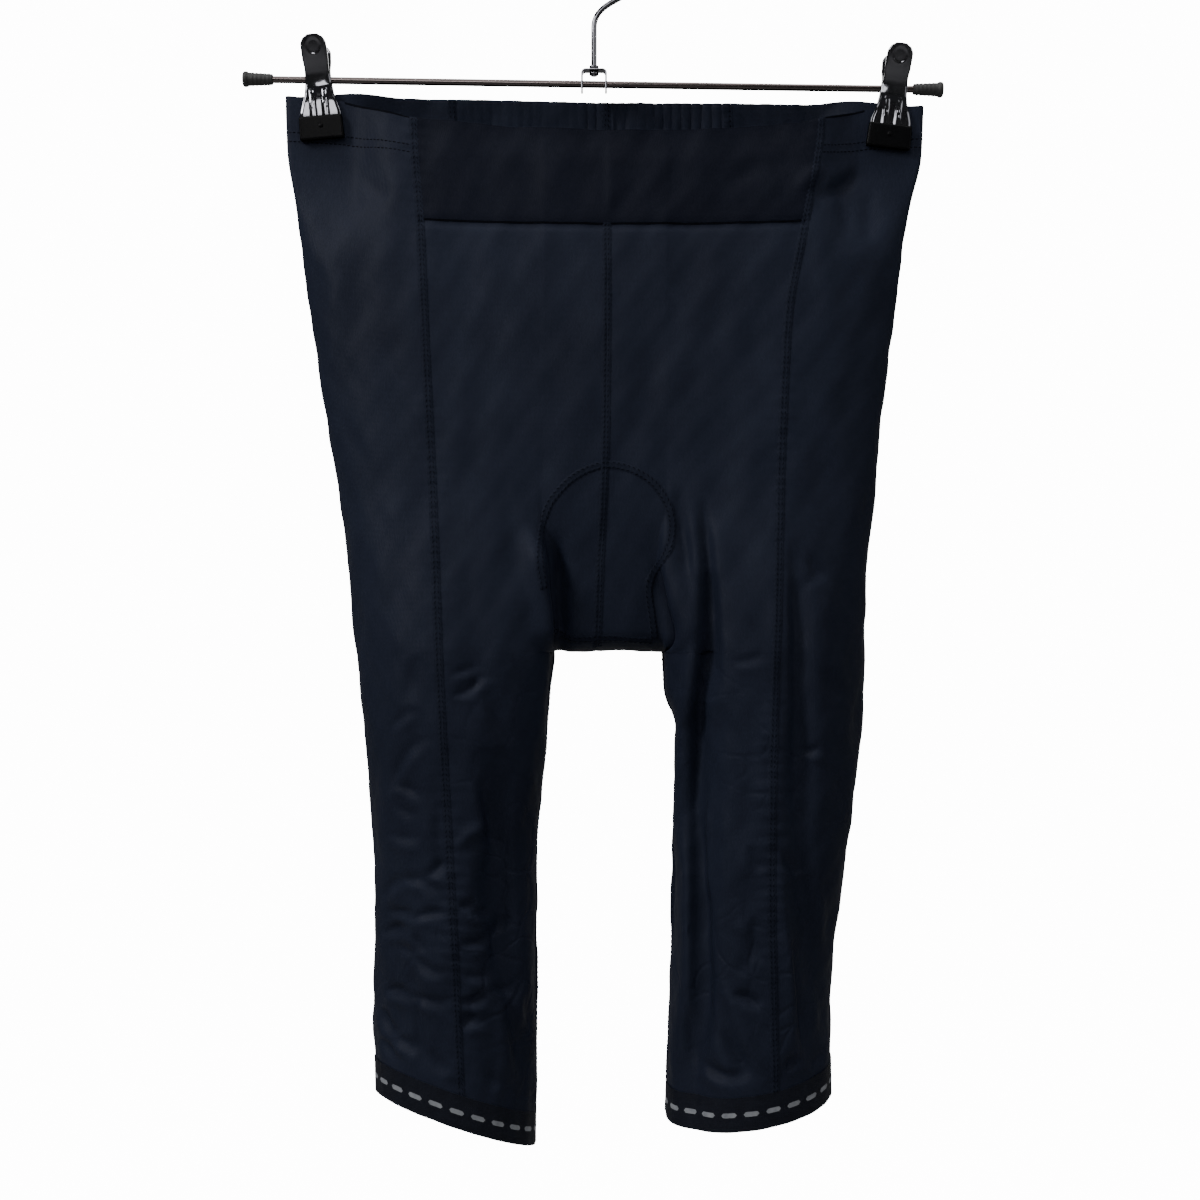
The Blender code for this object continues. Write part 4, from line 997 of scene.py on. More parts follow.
class Skin:
    """The outer face of the tights: a fine grid for each half, welded where the halves meet."""

    def __init__(self):
        self.grids = {half: half_grid(half) for half in HALVES}
        self.number_points()
        moves = {half: displacement(half, grid) for half, grid in self.grids.items()}
        self.points, total = self.welded(self.grids), self.welded(moves)
        self.points = self.points + self.find_normals() * total[:, None]
        self.normals = self.find_normals()
        self.lengths = {half: row_lengths(self.points[self.index[half]]) for half in HALVES}

    def number_points(self):
        """Gives each place one number, shared where two grid points lie together."""
        flat = np.vstack([self.grids[half].reshape(-1, 3) for half in HALVES])
        keys = np.round(flat * WELD_STEPS_PER_MM).astype(np.int64)
        _, numbers = np.unique(keys, axis=0, return_inverse=True)
        numbers = numbers.reshape(-1)
        shape = {half: self.grids[half].shape[:2] for half in HALVES}
        split = shape["right"][0] * shape["right"][1]
        self.index = {
            "right": numbers[:split].reshape(shape["right"]),
            "left": numbers[split:].reshape(shape["left"]),
        }
        self.count = int(numbers.max()) + 1

    def welded(self, values):
        """The mean of a grid's values at each numbered point."""
        numbers = np.concatenate([self.index[half].ravel() for half in HALVES])
        stacked = np.vstack([values[half].reshape(self.index[half].size, -1) for half in HALVES])
        total = np.zeros((self.count, stacked.shape[1]))
        np.add.at(total, numbers, stacked)
        share = np.bincount(numbers, minlength=self.count)[:, None]
        mean = total / share
        return mean[:, 0] if mean.shape[1] == 1 else mean

    def quads(self, half, rows, columns):
        """The quads between two rows and two columns, facing out."""
        index = self.index[half][rows[0] : rows[1] + 1, columns[0] : columns[1] + 1]
        a, b, c, d = index[:-1, :-1], index[:-1, 1:], index[1:, 1:], index[1:, :-1]
        found = np.stack((a, b, c, d), axis=-1).reshape(-1, 4)
        return found if half == "right" else found[:, ::-1]

    def find_normals(self):
        """The direction out of the cloth at each numbered point."""
        total = np.zeros((self.count, 3))
        for half in HALVES:
            last = self.index[half].shape[0] - 1
            quads = self.quads(half, (0, last), (0, LAST_COLUMN))
            corners = self.points[quads]
            normal = np.cross(corners[:, 2] - corners[:, 0], corners[:, 3] - corners[:, 1])
            for k in range(4):
                np.add.at(total, quads[:, k], normal)
        return total / np.maximum(np.linalg.norm(total, axis=1), 1e-9)[:, None]


def add_mesh(name, corners, faces, material, smooth_angle=50.0):
    """A named mesh object with its sizes turned into metres."""
    mesh = bpy.data.meshes.new(name)
    mesh.from_pydata((np.asarray(corners) * MM).tolist(), [], faces)
    mesh.validate()
    mesh.materials.append(material)
    mesh.shade_smooth()
    mesh.set_sharp_from_angle(angle=math.radians(smooth_angle))
    obj = bpy.data.objects.new(name, mesh)
    bpy.context.scene.collection.objects.link(obj)
    return obj


def open_edges(faces):
    """The edges that only one face has, each as it runs in that face."""
    seen = set()
    for face in faces:
        for k, number in enumerate(face):
            seen.add((number, face[(k + 1) % len(face)]))
    return [edge for edge in seen if (edge[1], edge[0]) not in seen]


def clean_faces(quads):
    """Quads as lists of their different corners, without those of no width."""
    found = []
    for quad in quads.tolist():
        corners = list(dict.fromkeys(quad))
        if len(corners) >= 3:
            found.append(corners)
    return found


def wall(name, points, normals, faces, depth, material, lift=0.0):
    """A closed wall: a face at some lift above the skin and one at a depth below it."""
    edges = open_edges(faces)
    used = sorted({number for face in faces for number in face})
    place = {number: i for i, number in enumerate(used)}
    base, out = points[used], normals[used]
    depths = depth[used][:, None] if isinstance(depth, np.ndarray) else depth
    corners = np.vstack((base + out * lift, base - out * depths))
    below = len(used)
    made = [[place[number] for number in face] for face in faces]
    made += [[number + below for number in reversed(face)] for face in made]
    made += [[place[b], place[a], place[a] + below, place[b] + below] for a, b in edges]
    return add_mesh(name, corners, made, material)


def casing_depths(skin):
    """The wall's depth at each point: doubled where the waist is turned in."""
    depths = np.full(skin.count, WALL)
    for half in HALVES:
        _, ends = level_heights(half)
        depths[skin.index[half][: ends["casing"] + 1].ravel()] = CASING_WALL
    return depths


def panel(skin, name, patches, depth, material, lift=0.0):
    """A wall over patches of the skin, each given as half, rows and columns."""
    faces = [face for patch in patches for face in clean_faces(skin.quads(*patch))]
    return wall(name, skin.points, skin.normals, faces, depth, material, lift)


def make_cloth(skin, materials):
    """The sewn panels, each under the name of the part that it stands for."""
    turned = casing_depths(skin)
    _, ends = level_heights("right")
    side = (COLUMNS["side_front"][0], COLUMNS["side_back"][1])
    cloth = materials["cloth"]
    panels = {}
    for half in HALVES:
        front_patches = [
            (half, (ends["yoke"], ends["crotch"]), COLUMNS["bridge_front"]),
            (half, (ends["yoke"], ends["leg"]), COLUMNS["front"]),
        ]
        back_patches = [
            (half, (0, ends["leg"]), COLUMNS["back"]),
            (half, (0, ends["crotch"]), COLUMNS["bridge_back"]),
        ]
        panels[f"front_{half}"] = panel(skin, f"cloth_front_{half}", front_patches, WALL, cloth)
        side_patches = [(half, (0, ends["leg"]), side)]
        panels[f"side_{half}"] = panel(skin, f"cloth_side_{half}", side_patches, turned, cloth)
        panels[f"back_{half}"] = panel(skin, f"cloth_back_{half}", back_patches, turned, cloth)
    columns = (COLUMNS["bridge_front"][0], COLUMNS["front"][1])
    yoke_patches = [(half, (0, ends["yoke"]), columns) for half in HALVES]
    yoke = materials["yoke"]
    panels["waist_yoke"] = panel(skin, "cloth_waist_yoke", yoke_patches, YOKE_WALL, yoke, YOKE_LIFT)
    return panels


def make_cuffs(skin, materials):
    """Elastic hem bands, a little proud of the leg above."""
    cuffs = {}
    ring = (COLUMNS["front"][0], COLUMNS["back"][1])
    depth = CUFF_WALL - CUFF_LIFT
    for half in HALVES:
        _, ends = level_heights(half)
        patch = [(half, (ends["leg"], ends["cuff"]), ring)]
        cuffs[half] = panel(skin, f"hem_band_{half}", patch, depth, materials["elastic"], CUFF_LIFT)
    return cuffs


def strip(skin, half, column, rows, offsets):
    """Points and normals on the cloth in rows, at distances to each side of a column."""
    points, normals = [], []
    for row in range(rows[0], rows[1] + 1):
        numbers = skin.index[half][row]
        lengths = skin.lengths[half][row]
        wanted = lengths[column] + np.asarray(offsets)
        points.append(sample(wanted, lengths, skin.points[numbers]))
        normals.append(sample(wanted, lengths, skin.normals[numbers]))
    return np.array(points), np.array(normals)


def resample(points, normals, step):
    """A strip divided evenly along its length, with the distance of each sample."""
    middle = points[:, points.shape[1] // 2]
    length = np.concatenate(([0.0], np.cumsum(np.linalg.norm(np.diff(middle, axis=0), axis=1))))
    keep = np.concatenate(([True], np.diff(length) > 1e-6))
    wanted = np.linspace(0.0, length[-1], max(3, round(length[-1] / step)) + 1)
    place = np.interp(wanted, length[keep], np.arange(len(length))[keep])
    low = np.minimum(place.astype(int), len(length) - 2)
    share = (place - low)[:, None, None]
    fine_points = points[low] * (1 - share) + points[low + 1] * share
    fine_normals = normals[low] * (1 - share) + normals[low + 1] * share
    fine_normals /= np.linalg.norm(fine_normals, axis=2)[:, :, None]
    return fine_points, fine_normals, wanted


def seam_relief(offsets, run, half_width):
    """The height of a flat seam over the cloth, with its needle holes and thread ladder."""
    aside = np.abs(np.asarray(offsets))[None, :]
    run = run[:, None]
    crown = SEAM_HEIGHT * np.sqrt(np.clip(1.0 - (aside / half_width) ** 4, 0.0, 1.0))
    edge = SEAM_EDGE_DROP * (aside >= half_width - 1e-6)
    beat = 0.5 + 0.5 * np.cos(2 * math.pi * run / STITCH_PITCH)
    holes = HOLE_DEPTH * np.exp(-(((aside - HOLE_PLACE * half_width) / HOLE_WIDTH) ** 2)) * beat
    groove = GROOVE_DEPTH * np.exp(-((aside / GROOVE_WIDTH) ** 2))
    return crown - edge - holes - groove


def grid_faces(rows, columns, closed=False):
    """Quads of a grid of points, as numbers in reading order."""
    faces = []
    for i in range(rows - 1):
        here, below = i * columns, (i + 1) * columns
        for j in range(columns if closed else columns - 1):
            following = (j + 1) % columns
            faces.append([here + j, here + following, below + following, below + j])
    return faces


def flipped(faces):
    """The same faces, seen from behind."""
    return [list(reversed(face)) for face in faces]


def facing_out(corners, faces, normals):
    """The faces turned to agree with the normals of their corners."""
    face = faces[len(faces) // 2]
    a, b, c = (corners[number] for number in face[:3])
    if np.dot(np.cross(b - a, c - b), normals[face[0]]) < 0:
        return flipped(faces)
    return faces


def ribbon(name, points, normals, relief, material):
    """A raised strip on the cloth."""
    corners = (points + normals * relief[:, :, None]).reshape(-1, 3)
    faces = grid_faces(points.shape[0], points.shape[1])
    faces = facing_out(corners, faces, normals.reshape(-1, 3))
    return add_mesh(name, corners, faces, material)


def dashes(tracks):
    """Short raised threads: corner points and faces for tracks of (point, run, normal)."""
    corners, faces = [], []
    for point, run, normal in tracks:
        run = run / np.linalg.norm(run)
        aside = np.cross(normal, run)
        base = len(corners)
        corners.append(point - run * STITCH_LENGTH / 2)
        for share in (-STITCH_SHOULDER, STITCH_SHOULDER):
            centre = point + run * STITCH_LENGTH * share
            reach, top = aside * STITCH_HALF, centre + normal * STITCH_HEIGHT
            corners += [centre - reach, top, centre + reach]
        corners.append(point + run * STITCH_LENGTH / 2)
        faces += [[base, base + 2, base + 1], [base, base + 3, base + 2]]
        faces += [[base + 1, base + 2, base + 5, base + 4], [base + 2, base + 3, base + 6, base + 5]]
        faces += [[base + 4, base + 5, base + 7], [base + 5, base + 6, base + 7]]
    return corners, faces


def dash_tracks(points, normals, run, column, lift, pitch=STITCH_PITCH, slant=0.0):
    """Places for the threads along one column of a strip, each turned by a slant."""

    def at(values, place):
        return np.array([np.interp(place, run, values[:, column, k]) for k in range(3)])

    tracks = []
    for place in np.arange(pitch / 2, run[-1], pitch):
        point, normal = at(points, place), at(normals, place)
        ahead, behind = at(points, place + 0.5), at(points, place - 0.5)
        normal /= np.linalg.norm(normal)
        direction = ahead - behind
        if np.linalg.norm(direction) < 1e-6:
            continue
        direction /= np.linalg.norm(direction)
        aside = np.cross(normal, direction)
        turned = direction * math.cos(slant) + aside * math.sin(slant)
        tracks.append((point + normal * lift, turned, normal))
    return tracks


class Sewing:
    """Makes the seams, and gathers every thread so that they become a few objects."""

    def __init__(self, skin, materials):
        self.skin = skin
        self.materials = materials
        self.tracks = {}
        self.made = []

    def seam(self, name, owner, half, column, rows, offsets, inside=0.0):
        """A flat seam over or under one column of the cloth."""
        points, normals = strip(self.skin, half, column, rows, offsets)
        if inside:
            points = points - normals * inside
            normals = -normals
        points, normals, run = resample(points, normals, SAMPLE_STEP)
        relief = seam_relief(offsets, run, SEAM_HALF)
        self.made.append(ribbon(name, points, normals, relief, self.materials["seam"]))
        self.add_threads(owner, points, normals, run, offsets)

    def add_threads(self, owner, points, normals, run, offsets):
        """The slanted threads along both sides of a flat seam."""
        tracks = self.tracks.setdefault(owner, [])
        lift = SEAM_HEIGHT - LADDER_SINK
        for side in (-1, 1):
            aside = side * LADDER_ASIDE
            if min(offsets) <= aside <= max(offsets):
                column = int(np.argmin(np.abs(np.asarray(offsets) - aside)))
                tracks += dash_tracks(points, normals, run, column, lift, slant=-side * LADDER_SLANT)

    def path_seam(self, name, owner, places):
        """A flat seam along any path on the cloth, given as points and normals."""
        points, normals = places
        run_direction = np.gradient(points, axis=0)
        run_direction /= np.linalg.norm(run_direction, axis=1)[:, None]
        aside = np.cross(normals, run_direction)
        offsets = np.linspace(-PAD_SEAM_HALF, PAD_SEAM_HALF, PAD_SEAM_STEPS)
        grid = points[:, None, :] + aside[:, None, :] * offsets[None, :, None]
        turned = np.repeat(normals[:, None, :], PAD_SEAM_STEPS, axis=1)
        grid, turned, run = resample(grid, turned, SAMPLE_STEP)
        relief = seam_relief(offsets, run, PAD_SEAM_HALF)
        self.made.append(ribbon(name, grid, turned, relief, self.materials["seam"]))
        self.add_threads(owner, grid, turned, run, offsets)

    def row_stitches(self, owner, half, row, columns):
        """A line of stitches along a row of the cloth."""
        numbers = self.skin.index[half][row, columns[0] : columns[1] + 1]
        points = self.skin.points[numbers][:, None, :]
        normals = self.skin.normals[numbers][:, None, :]
        points, normals, run = resample(points, normals, SAMPLE_STEP)
        tracks = self.tracks.setdefault(owner, [])
        tracks += dash_tracks(points, normals, run, 0, ROW_STITCH_LIFT, pitch=ROW_STITCH_PITCH)

    def painted_shadow_line(self, name, half, row, columns):
        """A thin dark strip along a row of the cloth, painted in as the shadow of an edge turned to the
        inside.
        """
        numbers = self.skin.index[half][row, columns[0] : columns[1] + 1]
        points, normals = self.skin.points[numbers], self.skin.normals[numbers]
        down = np.array((0.0, 0.0, -1.0))
        offsets = np.array((-PAINTED_SHADOW_HALF, 0.0, PAINTED_SHADOW_HALF))
        grid = points[:, None, :] + down * (offsets[None, :, None] + PAINTED_SHADOW_HALF)
        turned = np.repeat(normals[:, None, :], len(offsets), axis=1)
        relief = np.tile(PAINTED_SHADOW_RELIEF, (len(points), 1))
        self.made.append(ribbon(name, grid, turned, relief, self.materials["thread"]))

    def finish(self):
        """Every seam, and the threads of each panel as one object."""
        for owner, tracks in self.tracks.items():
            corners, faces = dashes(tracks)
            self.made.append(add_mesh(f"stitches_{owner}", corners, faces, self.materials["thread"], 80.0))
        return self.made


def row_near(half, level):
    """The number of the row that is nearest to a height."""
    rows, _ = level_heights(half)
    return int(np.argmin(np.abs(np.array(rows) - level)))


def on_face(skin, x, z, face):
    """The point and normal of the cloth in front of or behind a place in the hanger's plane."""
    centre = read_table(BODY, BODY_COLUMNS, "centre", z)
    half = "left" if x > centre else "right"
    rows, _ = level_heights(half)
    low = int(np.clip(np.searchsorted(-np.array(rows), -z) - 1, 0, len(rows) - 2))
    share = np.clip((rows[low] - z) / (rows[low] - rows[low + 1]), 0.0, 1.0)
    if face == "front":
        columns = slice(0, COLUMNS["front"][0] + FRONT_REACH)
    else:
        columns = slice(LAST_COLUMN - BACK_REACH, LAST_COLUMN + 1)
    found = []
    for row in (low, low + 1):
        numbers = skin.index[half][row, columns]
        places = np.abs(skin.points[numbers, 0] - centre)
        order = np.argsort(places)
        values = np.hstack((skin.points[numbers], skin.normals[numbers]))[order]
        found.append(sample([abs(x - centre)], places[order], values)[0])
    mixed = found[0] * (1 - share) + found[1] * share
    return mixed[:3], mixed[3:] / np.linalg.norm(mixed[3:])


def smooth_path(points, step):
    """A rounded path through points in the hanger's plane, divided evenly."""
    points = np.array(points, dtype=float)
    padded = np.vstack((2 * points[0] - points[1], points, 2 * points[-1] - points[-2]))
    fine = []
    for i in range(1, len(padded) - 2):
        a, b, c, d = padded[i - 1 : i + 3]
        for t in np.linspace(0.0, 1.0, 12, endpoint=False):
            bend = 2 * b + (c - a) * t + (2 * a - 5 * b + 4 * c - d) * t**2 + (3 * b - a - 3 * c + d) * t**3
            fine.append(0.5 * bend)
    fine = np.array(fine + [points[-1]])
    length = path_lengths(fine)
    wanted = np.linspace(0.0, length[-1], round(length[-1] / step) + 1)
    return sample(wanted, length, fine)


def face_path(skin, outline, face):
    """The points and normals of a rounded path on the front or back of the cloth."""
    found = [on_face(skin, x, z, face) for x, z in smooth_path(outline, PATH_STEP)]
    return np.array([point for point, _ in found]), np.array([normal for _, normal in found])


def sew(skin, materials):
    """Every seam and line of stitches."""
    sewing = Sewing(skin, materials)
    full = np.linspace(-SEAM_HALF, SEAM_HALF, SEAM_STEPS)
    one_side = np.linspace(0.0, SEAM_HALF, SEAM_STEPS // 2 + 1)
    side_front, side_back = COLUMNS["side_front"][0], COLUMNS["side_back"][1]
    inner = (COLUMNS["front"][0], COLUMNS["back"][1])
    for half in HALVES:
        _, ends = level_heights(half)
        sewing.seam(f"seam_side_front_{half}", f"side_{half}", half, side_front, (0, ends["leg"]), full)
        sewing.seam(f"seam_side_back_{half}", f"back_{half}", half, side_back, (0, ends["leg"]), full)
        centre_end = row_near(half, CENTRE_SEAM_END)
        front, back = f"front_{half}", f"back_{half}"
        rows = (ends["yoke"], centre_end)
        sewing.seam(f"seam_centre_front_{half}", front, half, 0, rows, one_side)
        sewing.seam(f"seam_centre_back_{half}", back, half, LAST_COLUMN, (0, centre_end), -one_side)
        edge = (0, COLUMNS["side_front"][1])
        # Painted shadow: a thin dark strip along the top edge of the waist in front
        sewing.painted_shadow_line(f"painted_shadow_waist_edge_{half}", half, 0, edge)
        across = (0, COLUMNS["front"][1])
        # Painted shadow: a thin dark strip along the fold under the waist yoke
        sewing.painted_shadow_line(f"painted_shadow_yoke_{half}", half, ends["yoke"], across)
        leg = (ends["crotch"], ends["leg"])
        sewing.seam(f"seam_inner_front_{half}", f"front_{half}", half, inner[0], leg, one_side)
        sewing.seam(f"seam_inner_back_{half}", f"back_{half}", half, inner[1], leg, -one_side)
        inside_rows = (0, row_near(half, INSIDE_SEAM_END))
        for name, column, offsets in (("side", side_back, full), ("centre", LAST_COLUMN, -one_side)):
            name = f"seam_inside_{name}_{half}"
            sewing.seam(name, back, half, column, inside_rows, offsets, inside=CASING_WALL)
        for level in CASING_STITCHES:
            row = row_near(half, level)
            sewing.row_stitches(f"side_{half}", half, row, (side_front, side_back))
            sewing.row_stitches(back, half, row, (side_back, LAST_COLUMN))
    for face, owner in (("front", "front_left"), ("back", "back_left")):
        outline = PAD_OUTLINE if face == "front" else PAD_OUTLINE_BACK
        sewing.path_seam(f"seam_pad_{face}", owner, face_path(skin, outline, face))
    sewing.path_seam("seam_crotch", "front_left", face_path(skin, CROTCH_SEAM, "front"))
    return sewing.finish()


def make_pad(skin, material):
    """The seat pad inside the crotch, thickest along its middle and thin at its edge."""
    faces = []
    shares = np.zeros(skin.count)
    rows, ends = level_heights("right")
    for half in HALVES:
        for stretch in ("bridge_front", "bridge_back"):
            start, end = COLUMNS[stretch]
            share = np.linspace(0.0, 1.0, end - start + 1)
            if stretch == "bridge_back":
                share = share[::-1]
            arch = PAD_SHOULDER + (PAD_TOP - PAD_SHOULDER) * np.sqrt(1.0 - share**2)
            crown = np.sqrt(np.clip(1.0 - share**4, 0.0, 1.0))
            for i in range(ends["front"], ends["crotch"] + 1):
                thick = crown * smoothstep(arch - rows[i], 0.0, PAD_SLOPE)
                shares[skin.index[half][i, start : end + 1]] = thick
            for i in range(ends["front"], ends["crotch"]):
                for j in range(start, end):
                    if rows[i] <= min(arch[j - start], arch[j - start + 1]):
                        faces += clean_faces(skin.quads(half, (i, i + 1), (j, j + 1)))
    outer = WALL + PAD_CLEARANCE
    depths = outer + PAD_EDGE + (PAD_WALL - PAD_EDGE) * shares
    return wall("pad_seat", skin.points, skin.normals, faces, depths, material, -outer)


def sweep(name, path, radii, material, sides):
    """A round bar along a path in the plane of the hanger, with a radius at each point."""
    path = np.array(path, dtype=float)
    across = np.array((0.0, 1.0, 0.0))
    angles = np.linspace(0.0, 2 * math.pi, sides, endpoint=False)
    corners = []
    for i, centre in enumerate(path):
        run = path[min(i + 1, len(path) - 1)] - path[max(i - 1, 0)]
        up = np.cross(across, run / np.linalg.norm(run))
        for a in angles:
            corners.append(centre + radii[i] * (across * math.cos(a) + up * math.sin(a)))
    faces = flipped(grid_faces(len(path), sides, closed=True))
    faces.append(list(range(sides)))
    faces.append(list(range(len(corners) - 1, len(corners) - 1 - sides, -1)))
    return add_mesh(name, corners, faces, material)


def profile_steps(steps, axis_start, direction):
    """Path and radii of a turned profile of (reach, radius) along a direction."""
    path = [np.array(axis_start) + np.array(direction) * reach for reach, _ in steps]
    return path, [radius for _, radius in steps]


def make_hook(material):
    """The wire's turn and stem, ending in a rounded tip."""
    centre_z = WIRE_RADIUS - HOOK_RADIUS
    turn = np.radians(np.linspace(HOOK_START, HOOK_END, HOOK_STEPS))
    circle = [(HOOK_RADIUS * math.cos(a), 0.0, centre_z + HOOK_RADIUS * math.sin(a)) for a in turn]
    start = np.array((0.0, 0.0, STEM_TOP))
    end = np.array(circle[0])
    leave = np.array((-math.sin(turn[0]), 0.0, math.cos(turn[0])))
    path = [(0.0, 0.0, z) for z in np.linspace(BRACKET_TOP - STEM_SUNK, STEM_TOP, 8)]
    for t in np.linspace(0.08, 0.92, 12):
        a = start * (1 - t) ** 3 + 3 * (start + (0, 0, STEM_EASE)) * t * (1 - t) ** 2
        b = 3 * (end - leave * STEM_EASE) * t * t * (1 - t) + end * t**3
        path.append(tuple(a + b))
    path += circle
    radii = [WIRE_RADIUS] * len(path)
    tip_run = np.array(path[-1]) - np.array(path[-2])
    tip_run /= np.linalg.norm(tip_run)
    tip = np.array(path[-1])
    for angle in np.radians(HOOK_TIP_ANGLES):
        path.append(tuple(tip + tip_run * WIRE_RADIUS * math.sin(angle)))
        radii.append(WIRE_RADIUS * math.cos(angle))
    return sweep("hanger_hook", path, radii, material, sides=24)


def make_collar(name, base, material):
    """A turned collar with rounded edges."""
    edge = COLLAR_EDGE
    rounding = [(0.0, edge), (edge * 0.3, edge * 0.3), (edge, 0.0)]
    steps = [(rise, COLLAR_RADIUS - inset) for rise, inset in rounding]
    steps += [(COLLAR_HEIGHT - rise, COLLAR_RADIUS - inset) for rise, inset in reversed(rounding)]
    path, radii = profile_steps(steps, (0.0, 0.0, base), (0.0, 0.0, 1.0))
    return sweep(name, path, radii, material, sides=32)


def bar_height(x):
    """The height of the bar's axis, which leans a little."""
    return BAR_CENTRE[1] + (x - BAR_CENTRE[0]) * BAR_SLOPE


def bar_line():
    """The middle of the bar's axis and its direction to the left."""
    middle = np.array((BAR_CENTRE[0], 0.0, BAR_CENTRE[1]))
    return middle, np.array((1.0, 0.0, BAR_SLOPE)) / math.hypot(1.0, BAR_SLOPE)


def make_bar(material):
    """The long round bar."""
    middle, direction = bar_line()
    reach = np.linspace(-BAR_LENGTH / 2, BAR_LENGTH / 2, BAR_STEPS)
    path = [middle + direction * distance for distance in reach]
    return sweep("hanger_bar", path, [BAR_RADIUS] * len(path), material, sides=32)


def make_cap(half, material):
    """A flared rubber cap with a rim and shallow rings."""
    centre, direction = bar_line()
    outward = direction * (-1 if half == "right" else 1)
    start = BAR_LENGTH / 2 - CAP_BORE_DEPTH
    steps = [(start, BAR_RADIUS + 0.2), (start + 0.05, CAP_INNER_RADIUS - 0.5)]
    steps.append((start + 0.5, CAP_INNER_RADIUS))
    for reach in np.linspace(start + 1.0, CAP_REACH - 3.4, 24):
        share = (reach - start) / (CAP_REACH - start)
        ring = CAP_RING_HEIGHT * math.cos((reach - start) * CAP_RING_TURN) if reach < CAP_REACH - 5 else 0.0
        flare = (CAP_OUTER_RADIUS - 0.5 - CAP_INNER_RADIUS) * share
        steps.append((reach, CAP_INNER_RADIUS + flare + ring))
    steps += [(CAP_REACH - 3.0, CAP_OUTER_RADIUS - 0.35), (CAP_REACH - 2.4, CAP_OUTER_RADIUS)]
    rim_reach, rim_radius = CAP_REACH - CAP_ROUNDING, CAP_OUTER_RADIUS - CAP_ROUNDING
    for angle in np.radians((0, 20, 40, 60, 80)):
        along_rim, over_rim = CAP_ROUNDING * math.sin(angle), CAP_ROUNDING * math.cos(angle)
        steps.append((rim_reach + along_rim, rim_radius + over_rim))
    steps.append((CAP_REACH, 1.0))
    path, radii = profile_steps(steps, centre, outward)
    return sweep(f"hanger_cap_{half}", path, radii, material, sides=36)


def make_bracket(material):
    """The inverted U of strip with rounded bends."""
    half = BRACKET_WIDTH / 2 - BRACKET_WALL / 2
    bend = BRACKET_BEND
    top = BRACKET_TOP - BRACKET_WALL / 2
    line = [(-half, z) for z in np.linspace(BRACKET_BOTTOM, top - bend, 6)]
    for centre, start, end in ((-half + bend, 180, 90), (half - bend, 90, 0)):
        for a in np.radians(np.linspace(start, end, 9)):
            line.append((centre + bend * math.cos(a), top - bend + bend * math.sin(a)))
    line += [(half, z) for z in np.linspace(top - bend, BRACKET_BOTTOM, 6)]
    line = np.array(line)
    run = np.gradient(line, axis=0)
    out = np.column_stack((-run[:, 1], run[:, 0])) / np.linalg.norm(run, axis=1)[:, None]
    angles = np.radians(np.arange(0, 360, 15))
    depth = BRACKET_DEPTH / 2
    flat_edge, flat_face = BRACKET_FLATNESS
    corners = []
    for (x, z), (nx, nz) in zip(line, out):
        for a in angles:
            y = depth * np.sign(math.cos(a)) * abs(math.cos(a)) ** flat_edge
            thick = BRACKET_WALL / 2 * np.sign(math.sin(a)) * abs(math.sin(a)) ** flat_face
            corners.append((x + nx * thick, y, z + nz * thick))
    faces = grid_faces(len(line), len(angles), closed=True)
    faces.append(list(range(len(angles) - 1, -1, -1)))
    faces.append(list(range(len(corners) - len(angles), len(corners))))
    return add_mesh("hanger_bracket", corners, faces, material, 35.0)


def clip_place(half):
    """Puts a point given from the bar's axis into the world, leaning with its clip."""
    angle = math.radians(CLIP_TILT[half])
    pivot_x = JAW_X[half] - JAW_CENTRE_HEIGHT * math.sin(angle)
    pivot_z = bar_height(pivot_x)

    def place(x, y, z):
        turned_x = x * math.cos(angle) + z * math.sin(angle)
        turned_z = z * math.cos(angle) - x * math.sin(angle)
        return (pivot_x + turned_x, y, pivot_z + turned_z)

    return place


def leaf_relief(x, height, share):
    """The pressed form of a leaf: turned edges, two pairs of ribs and a round dimple."""
    relief = -LEAF_BOW * share**2 * smoothstep(height, *LEAF_BOW_HEIGHTS)
    relief -= LEAF_LIP * smoothstep(abs(share), LEAF_LIP_START, 1.0)
    ribs = smoothstep(height, *RIB_BOTTOM) * (1.0 - smoothstep(height, *RIB_TOP))
    for centre in LEAF_RIBS:
        relief += RIB_HEIGHT * ribs * math.exp(-(((x - centre) / RIB_WIDTH) ** 2))
    distance = math.hypot(x, height - DIMPLE_HEIGHT)
    relief -= DIMPLE_DEPTH * (1.0 - smoothstep(distance, DIMPLE_RADIUS - 1.4, DIMPLE_RADIUS))
    relief += DIMPLE_RIM * math.exp(-(((distance - DIMPLE_RADIUS - 0.3) / 0.6) ** 2))
    return relief


def make_leaf(half, face, material):
    """A pressed clip leaf with its relief on both faces."""
    side = SIDE[face]
    place = clip_place(half)
    heights = np.linspace(LEAF[0][0], JAW_TOP - 3.0, LEAF_ROWS)
    shares = np.sin(np.linspace(-math.pi / 2, math.pi / 2, LEAF_STEPS))
    outer, inner = [], []
    for level in heights:
        half_width = read_table(LEAF, LEAF_COLUMNS, "half_width", level)
        offset = read_table(LEAF, LEAF_COLUMNS, "offset", level)
        for share in shares:
            x = half_width * share
            relief = leaf_relief(x, level, share)
            outer.append(place(x, side * (offset + LEAF_WALL / 2 + relief), level))
            inner.append(place(x, side * (offset - LEAF_WALL / 2 + relief), level))
    faces = grid_faces(len(heights), len(shares))
    if face == "back":
        faces = flipped(faces)
    below = len(outer)
    made = faces + [[number + below for number in reversed(quad)] for quad in faces]
    made += [[b, a, a + below, b + below] for a, b in open_edges(faces)]
    return add_mesh(f"clip_leaf_{half}_{face}", outer + inner, made, material, 60.0)


